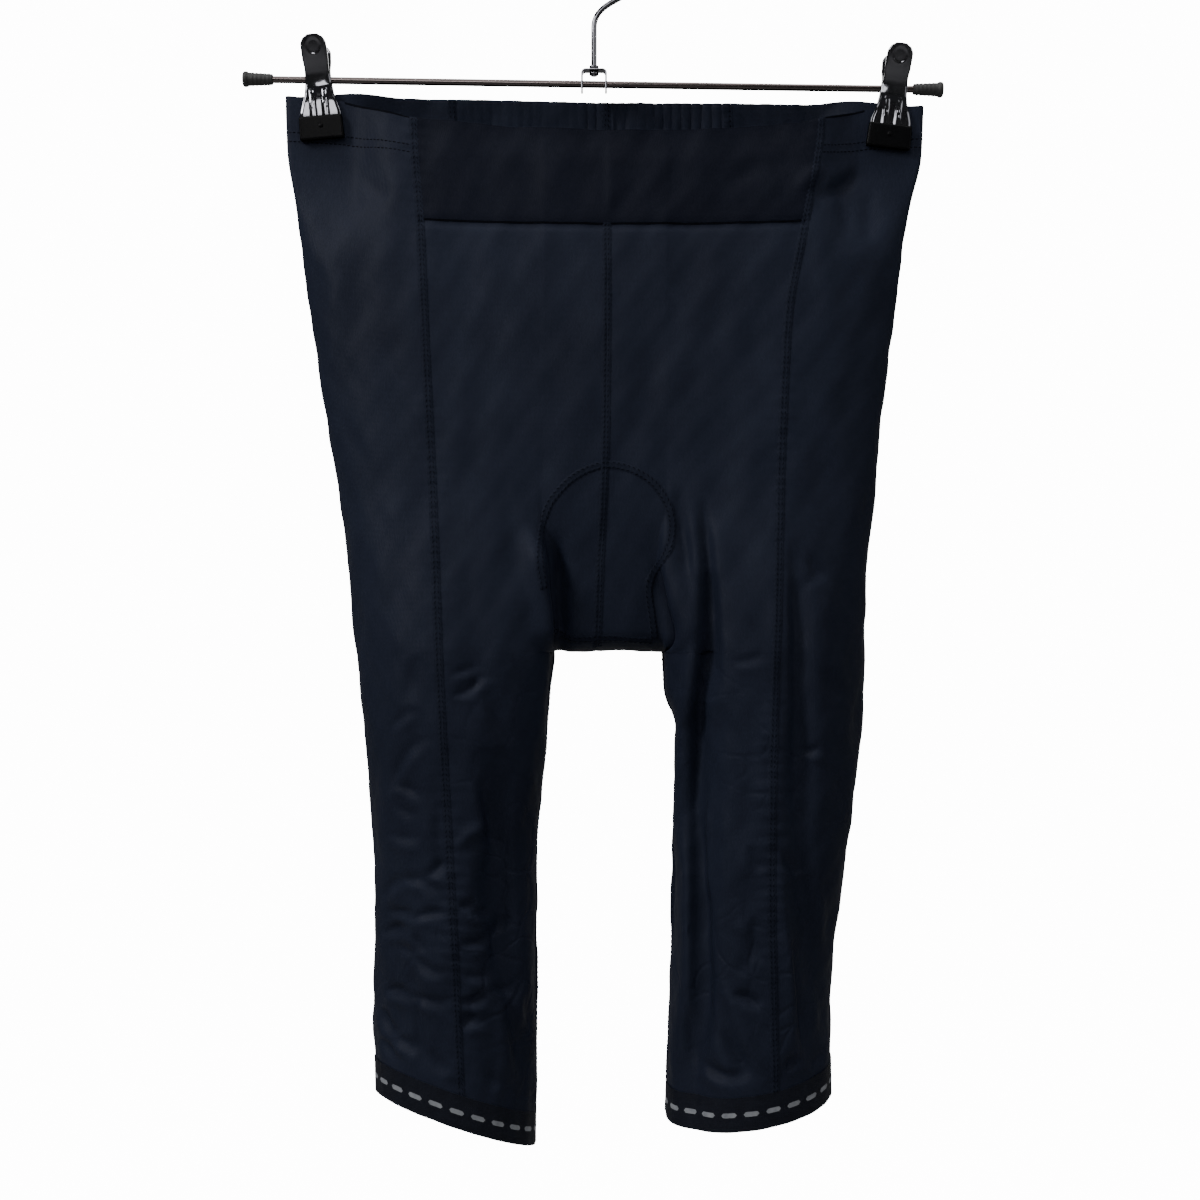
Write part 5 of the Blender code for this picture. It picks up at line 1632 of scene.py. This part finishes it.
def rounded_block(name, low, high, place, material):
    """A jaw's block with rounded edges between two corners, its top a little narrower."""
    mesh = bmesh.new()
    bmesh.ops.create_cube(mesh, size=1.0)
    size = np.array(high) - np.array(low)
    middle = (np.array(high) + np.array(low)) / 2
    for vertex in mesh.verts:
        vertex.co = [vertex.co[k] * size[k] + middle[k] for k in range(3)]
    bmesh.ops.subdivide_edges(mesh, edges=mesh.edges[:], cuts=6, use_grid_fill=True)
    sharp = [edge for edge in mesh.edges if len(edge.link_faces) == 2 and edge.calc_face_angle() > 1.0]
    bmesh.ops.bevel(mesh, geom=sharp, offset=JAW_BEVEL, segments=5, profile=0.6, affect="EDGES")
    corners = []
    for vertex in mesh.verts:
        x, y, z = vertex.co
        share = (z - low[2]) / size[2]
        corners.append(place(x * (1.0 - JAW_TAPER * share), y, z))
    faces = [[vertex.index for vertex in face.verts] for face in mesh.faces]
    mesh.free()
    return add_mesh(name, corners, faces, material, 60.0)


def make_jaw(half, face, material):
    """A soft vinyl sleeve over the foot of a leaf, with its small rivet."""
    side = SIDE[face]
    near, far = sorted((side * JAW_FACE, side * (JAW_FACE + JAW_DEPTH)))
    low = (-JAW_WIDTH / 2, near, JAW_BOTTOM)
    high = (JAW_WIDTH / 2, far, JAW_TOP)
    return rounded_block(f"clip_jaw_{half}_{face}", low, high, clip_place(half), material)


def make_rivet(half, face, material):
    """A low dome on the middle of a jaw."""
    side = SIDE[face]
    place = clip_place(half)
    rings = np.radians(np.linspace(90, 5, 7))
    around = np.radians(np.arange(0, 360, 15))
    corners = []
    for a in rings:
        for b in around:
            reach = RIVET_RADIUS * math.sin(a)
            out = JAW_FACE + JAW_DEPTH - RIVET_SINK + RIVET_HEIGHT * math.cos(a)
            corners.append(place(reach * math.cos(b), side * out, RIVET_PLACE + reach * math.sin(b)))
    faces = grid_faces(len(rings), len(around), closed=True)
    faces.append([len(corners) - len(around) + k for k in range(len(around))])
    if face == "front":
        faces = flipped(faces)
    return add_mesh(f"clip_rivet_{half}_{face}", corners, faces, material, 60.0)


def make_hanger(materials):
    """The hanger's pieces and the CAD nodes that each stands for."""
    chrome, vinyl = materials["chrome"], materials["vinyl"]
    rivet_base = BRACKET_TOP - BRACKET_WALL - FIT - COLLAR_HEIGHT
    made = [
        (make_hook(chrome), ("hook",)),
        (make_collar("hanger_collar", BRACKET_TOP + FIT, chrome), ()),
        (make_collar("hanger_rivet", rivet_base, chrome), ()),
        (make_bracket(chrome), ("bracket",)),
        (make_bar(materials["bar"]), ("bar",)),
    ]
    for half in HALVES:
        made.append((make_cap(half, materials["cap_rubber"]), (f"end_cap_{half}",)))
        for face in ("front", "back"):
            made.append((make_leaf(half, face, chrome), (f"clip_{half}_{face}_leaf",)))
            made.append((make_jaw(half, face, vinyl), (f"clip_{half}_{face}_jaw",)))
            made.append((make_rivet(half, face, vinyl), ()))
    return made


def make_marks(skin, material):
    """Plain grey bars printed round the hem bands."""
    marks = {}
    for half in HALVES:
        _, ends = level_heights(half)
        middle = (ends["leg"] + ends["cuff"]) // 2
        rows = (middle - 1, middle + 1)
        total = skin.lengths[half][middle, -1]
        corners, faces = [], []
        for start in np.arange(MARK_START, total - MARK_LENGTH, MARK_PITCH):
            offsets = np.linspace(start, start + MARK_LENGTH, MARK_STEPS)
            points, normals = strip(skin, half, 0, rows, offsets)
            rounding = 1.0 - np.abs(np.linspace(-1.0, 1.0, MARK_STEPS)) ** 8
            half_height = MARK_HEIGHT / 2 * np.clip(rounding, 0.0, 1.0) ** 0.5 + 0.02
            middle_line = points[1]
            down = (points[2] - points[0]) / np.linalg.norm(points[2] - points[0], axis=1)[:, None]
            lift = normals[1] * MARK_LIFT
            base = len(corners)
            for side in (-1.0, 1.0):
                corners += list(middle_line + down * half_height[:, None] * side + lift)
            upper = base + MARK_STEPS
            faces += [[base + k, upper + k, upper + k + 1, base + k + 1] for k in range(MARK_STEPS - 1)]
        corners = np.array(corners)
        faces = facing_out(corners, faces, np.repeat(normals[1][:1], len(corners), axis=0))
        marks[half] = add_mesh(f"hem_marks_{half}", corners, faces, material)
    return marks


def make_glint(skin, material):
    """A short plain reflective strip on the outer side of the left leg."""
    rows = [row_near("left", level) for level in GLINT_ENDS]
    offsets = np.linspace(*GLINT_ACROSS, 6)
    points, normals = strip(skin, "left", TIP_COLUMN, rows, offsets)
    relief = np.full(points.shape[:2], GLINT_LIFT)
    return ribbon("reflective_strip_left", points, normals, relief, material)


def new_material(name, colour, roughness, specular=0.5, metallic=0.0):
    """A principled material; numbers that are the same all over go on the shader itself."""
    material = bpy.data.materials.new(name)
    material.use_nodes = True
    inputs = material.node_tree.nodes["Principled BSDF"].inputs
    inputs["Base Color"].default_value = (*colour, 1.0)
    inputs["Roughness"].default_value = roughness
    inputs["Metallic"].default_value = metallic
    inputs["Specular IOR Level"].default_value = specular
    material.diffuse_color = (*colour, 1.0)
    return material


def node(material, kind, **values):
    """A new node, with values for its inputs or settings."""
    made = material.node_tree.nodes.new(kind)
    for name, value in values.items():
        if name in made.inputs:
            made.inputs[name].default_value = value
        else:
            setattr(made, name, value)
    return made


def link(material, start, end):
    material.node_tree.links.new(start, end)


def object_place(material):
    return node(material, "ShaderNodeTexCoord").outputs["Object"]


def noise_over(material, place, **values):
    """Noise over a place on the object."""
    noise = node(material, "ShaderNodeTexNoise", **values)
    link(material, place, noise.inputs["Vector"])
    return noise


def combine(material, operation, *values):
    """A sum with numbers or the outputs of nodes."""
    made = node(material, "ShaderNodeMath", operation=operation)
    for k, value in enumerate(values):
        if isinstance(value, float):
            made.inputs[k].default_value = value
        else:
            link(material, value, made.inputs[k])
    return made.outputs["Value"]


def spread(material, value, start=(0.0, 1.0), end=(0.0, 1.0), **values):
    """A value taken from one range to another."""
    made = node(material, "ShaderNodeMapRange", **values)
    for name, number in zip(("From Min", "From Max", "To Min", "To Max"), start + end):
        made.inputs[name].default_value = number
    link(material, value, made.inputs["Value"])
    return made.outputs["Result"]


def vary_colour(material, scale, dark, light):
    """Slow changes of colour over the surface."""
    shader = material.node_tree.nodes["Principled BSDF"]
    noise = noise_over(material, object_place(material), Scale=scale, Detail=4.0, Roughness=0.6)
    ramp = node(material, "ShaderNodeValToRGB")
    for stop, place, colour in zip(ramp.color_ramp.elements, RAMP_ENDS, (dark, light)):
        stop.position = place
        stop.color = (*colour, 1.0)
    link(material, noise.outputs["Fac"], ramp.inputs["Fac"])
    link(material, ramp.outputs["Color"], shader.inputs["Base Color"])
    return noise.outputs["Fac"]


def add_bump(material, height_output, strength, distance=FINE_DISTANCE):
    """A bump, on top of the one that the material may have."""
    shader = material.node_tree.nodes["Principled BSDF"]
    bump = node(material, "ShaderNodeBump", Strength=strength, Distance=distance)
    link(material, height_output, bump.inputs["Height"])
    if shader.inputs["Normal"].is_linked:
        link(material, shader.inputs["Normal"].links[0].from_socket, bump.inputs["Normal"])
    link(material, bump.outputs["Normal"], shader.inputs["Normal"])


def crumple_height(material):
    """Fine crisp wrinkles between the modelled creases, in patches and in the legs only."""
    place = object_place(material)
    warp = noise_over(material, place, Scale=CRUMPLE_WARP_SCALE, Detail=1.0)
    bend = node(material, "ShaderNodeVectorMath", operation="MULTIPLY_ADD")
    bend.inputs[1].default_value = (CRUMPLE_WARP,) * 3
    link(material, warp.outputs["Color"], bend.inputs[0])
    link(material, place, bend.inputs[2])
    cells = node(material, "ShaderNodeTexVoronoi", feature="DISTANCE_TO_EDGE", Scale=CRUMPLE_SCALE)
    link(material, bend.outputs["Vector"], cells.inputs["Vector"])
    patches = noise_over(material, place, Scale=CRUMPLE_PATCH_SCALE, Detail=0.0)
    split = node(material, "ShaderNodeSeparateXYZ")
    link(material, place, split.inputs["Vector"])
    edge = (0.0, CRUMPLE_EDGE)
    groove = spread(material, cells.outputs["Distance"], edge, interpolation_type="SMOOTHSTEP")
    patch = spread(material, patches.outputs["Fac"], CRUMPLE_PATCHES)
    low = spread(material, split.outputs["Z"], (CRUMPLE_TOP, CRUMPLE_FULL))
    return combine(material, "MULTIPLY", groove, combine(material, "MULTIPLY", patch, low))


def knit_height(material, wale, course):
    """The height of a fine knit: upright wales crossed by courses, with pitches in metres."""
    split = node(material, "ShaderNodeSeparateXYZ")
    link(material, object_place(material), split.inputs["Vector"])
    around = combine(material, "ADD", split.outputs["X"], split.outputs["Y"])
    waves = []
    for output, pitch in ((around, wale), (split.outputs["Z"], course)):
        turns = combine(material, "MULTIPLY", output, 2 * math.pi / pitch)
        waves.append(combine(material, "SINE", turns))
    return combine(material, "ADD", *waves)


def make_knit(name, dark, light, roughness, bump):
    """Stretch knit with slow changes of colour."""
    material = new_material(name, light, roughness, KNIT_SPECULAR)
    vary_colour(material, KNIT_SCALE, dark, light)
    add_bump(material, knit_height(material, *KNIT_PITCH), bump)
    return material


def make_metal(name, colour, roughness, scratch):
    """Plated metal with uneven gloss and faint scratches."""
    material = new_material(name, colour, roughness, metallic=1.0)
    place = object_place(material)
    noise = noise_over(material, place, Scale=METAL_SCALE, Detail=6.0, Roughness=0.7).outputs["Fac"]
    uneven = spread(material, noise, end=tuple(roughness * share for share in METAL_ROUGHNESS))
    link(material, uneven, material.node_tree.nodes["Principled BSDF"].inputs["Roughness"])
    add_bump(material, noise, scratch)
    return material


def make_materials():
    """Every material, by its name in this script."""
    materials = {key: make_knit(*look) for key, look in KNITS.items()}
    materials.update({key: make_metal(*look) for key, look in METALS.items()})
    grains = {}
    for key, look in OTHERS.items():
        materials[key] = new_material(*look)
        grains[key] = vary_colour(materials[key], *CHANGES[key])
    cloth, elastic = materials["cloth"], materials["elastic"]
    add_bump(cloth, crumple_height(cloth), CRUMPLE_STRENGTH, CRUMPLE_DEPTH)
    add_bump(elastic, knit_height(elastic, *ELASTIC_PITCH), ELASTIC_BUMP)
    for key, bump in GRAIN_BUMPS.items():
        add_bump(materials[key], grains[key], bump)
    return materials


def make_stage():
    """A pale floor that turns up into a wall all round. Its own glow is for the camera alone."""
    floor = new_material("stage_pale", STAGE_COLOUR, 1.0, 0.0)
    inputs = floor.node_tree.nodes["Principled BSDF"].inputs
    inputs["Emission Strength"].default_value = STAGE_GLOW
    inputs["Emission Color"].default_value = (1.0, 1.0, 1.0, 1.0)
    profile = [(STAGE_START, STAGE_FLOOR)]
    profile += [(r, STAGE_FLOOR) for r in np.linspace(1.0, STAGE_RADIUS - STAGE_BEND, 3)]
    bend = (STAGE_RADIUS - STAGE_BEND, STAGE_FLOOR + STAGE_BEND)
    for a in np.radians(np.linspace(-90, 0, 6)[1:]):
        profile.append((bend[0] + STAGE_BEND * math.cos(a), bend[1] + STAGE_BEND * math.sin(a)))
    profile.append((STAGE_RADIUS, STAGE_TOP))
    around = np.linspace(0.0, 2 * math.pi, STAGE_SIDES, endpoint=False)
    corners = [np.array((r * math.cos(a), r * math.sin(a), z)) / MM for r, z in profile for a in around]
    faces = grid_faces(len(profile), STAGE_SIDES, closed=True)
    faces.append(list(range(STAGE_SIDES)))
    stage = add_mesh("stage_floor", corners, faces, floor)
    receivers = bpy.data.collections.new("lit_by_stage")
    receivers.objects.link(bpy.context.scene.camera)
    stage.light_linking.receiver_collection = receivers


def add_area(name, place, target, size, power):
    """A soft lamp at a place, facing a target."""
    light = bpy.data.lights.new(name, "AREA")
    light.shape = "RECTANGLE"
    light.size, light.size_y = size
    light.energy = power
    obj = bpy.data.objects.new(name, light)
    obj.location = place
    direction = Vector(target) - Vector(place)
    obj.rotation_euler = direction.to_track_quat("-Z", "Y").to_euler()
    bpy.context.scene.collection.objects.link(obj)


def make_lights():
    """A weak even world and the soft lamps."""
    world = bpy.data.worlds.new("studio")
    world.use_nodes = True
    background = world.node_tree.nodes["Background"]
    background.inputs["Color"].default_value = WORLD_COLOUR
    background.inputs["Strength"].default_value = WORLD_STRENGTH
    bpy.context.scene.world = world
    for light in LIGHTS:
        add_area(*light)


def make_camera():
    """The camera at the photo's place, level and facing the hanger."""
    data = bpy.data.cameras.new("photo_view")
    data.lens = CAMERA_LENS
    data.sensor_width = CAMERA_SENSOR
    camera = bpy.data.objects.new("photo_view", data)
    camera.location = CAMERA_PLACE
    camera.rotation_euler = (math.pi / 2, 0.0, 0.0)
    bpy.context.scene.collection.objects.link(camera)
    bpy.context.scene.camera = camera


def declare():
    """Runs over the sheets that the garment is cut from and what holds each; nothing is kept from it."""
    jaws = [f"clip_jaw_{half}_{face}" for half in HALVES for face in ("front", "back")]
    for name, flat, area, rests_on in SHEETS:
        held_by = jaws if rests_on == "jaws" else rests_on
        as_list(held_by)


def main():
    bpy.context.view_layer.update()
    make_camera()
    make_lights()
    make_stage()
    materials = make_materials()
    skin = Skin()
    panels = make_cloth(skin, materials)
    cuffs = make_cuffs(skin, materials)
    marks = make_marks(skin, materials["mark"])
    pad = make_pad(skin, materials["pad"])
    glint = make_glint(skin, materials["glint"])
    sewn = sew(skin, materials)
    for name, obj in panels.items():
        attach(obj, "root")
        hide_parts(name)
    for half in HALVES:
        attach(cuffs[half], "root")
        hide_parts(f"cuff_{half}")
        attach(marks[half], "root")
    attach(pad, "root")
    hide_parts("seat_pad")
    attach(glint, "root")
    for obj in sewn:
        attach(obj, "root")
    for obj, nodes in make_hanger(materials):
        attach(obj, "root")
        if nodes:
            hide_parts(*nodes)
    declare()


main()
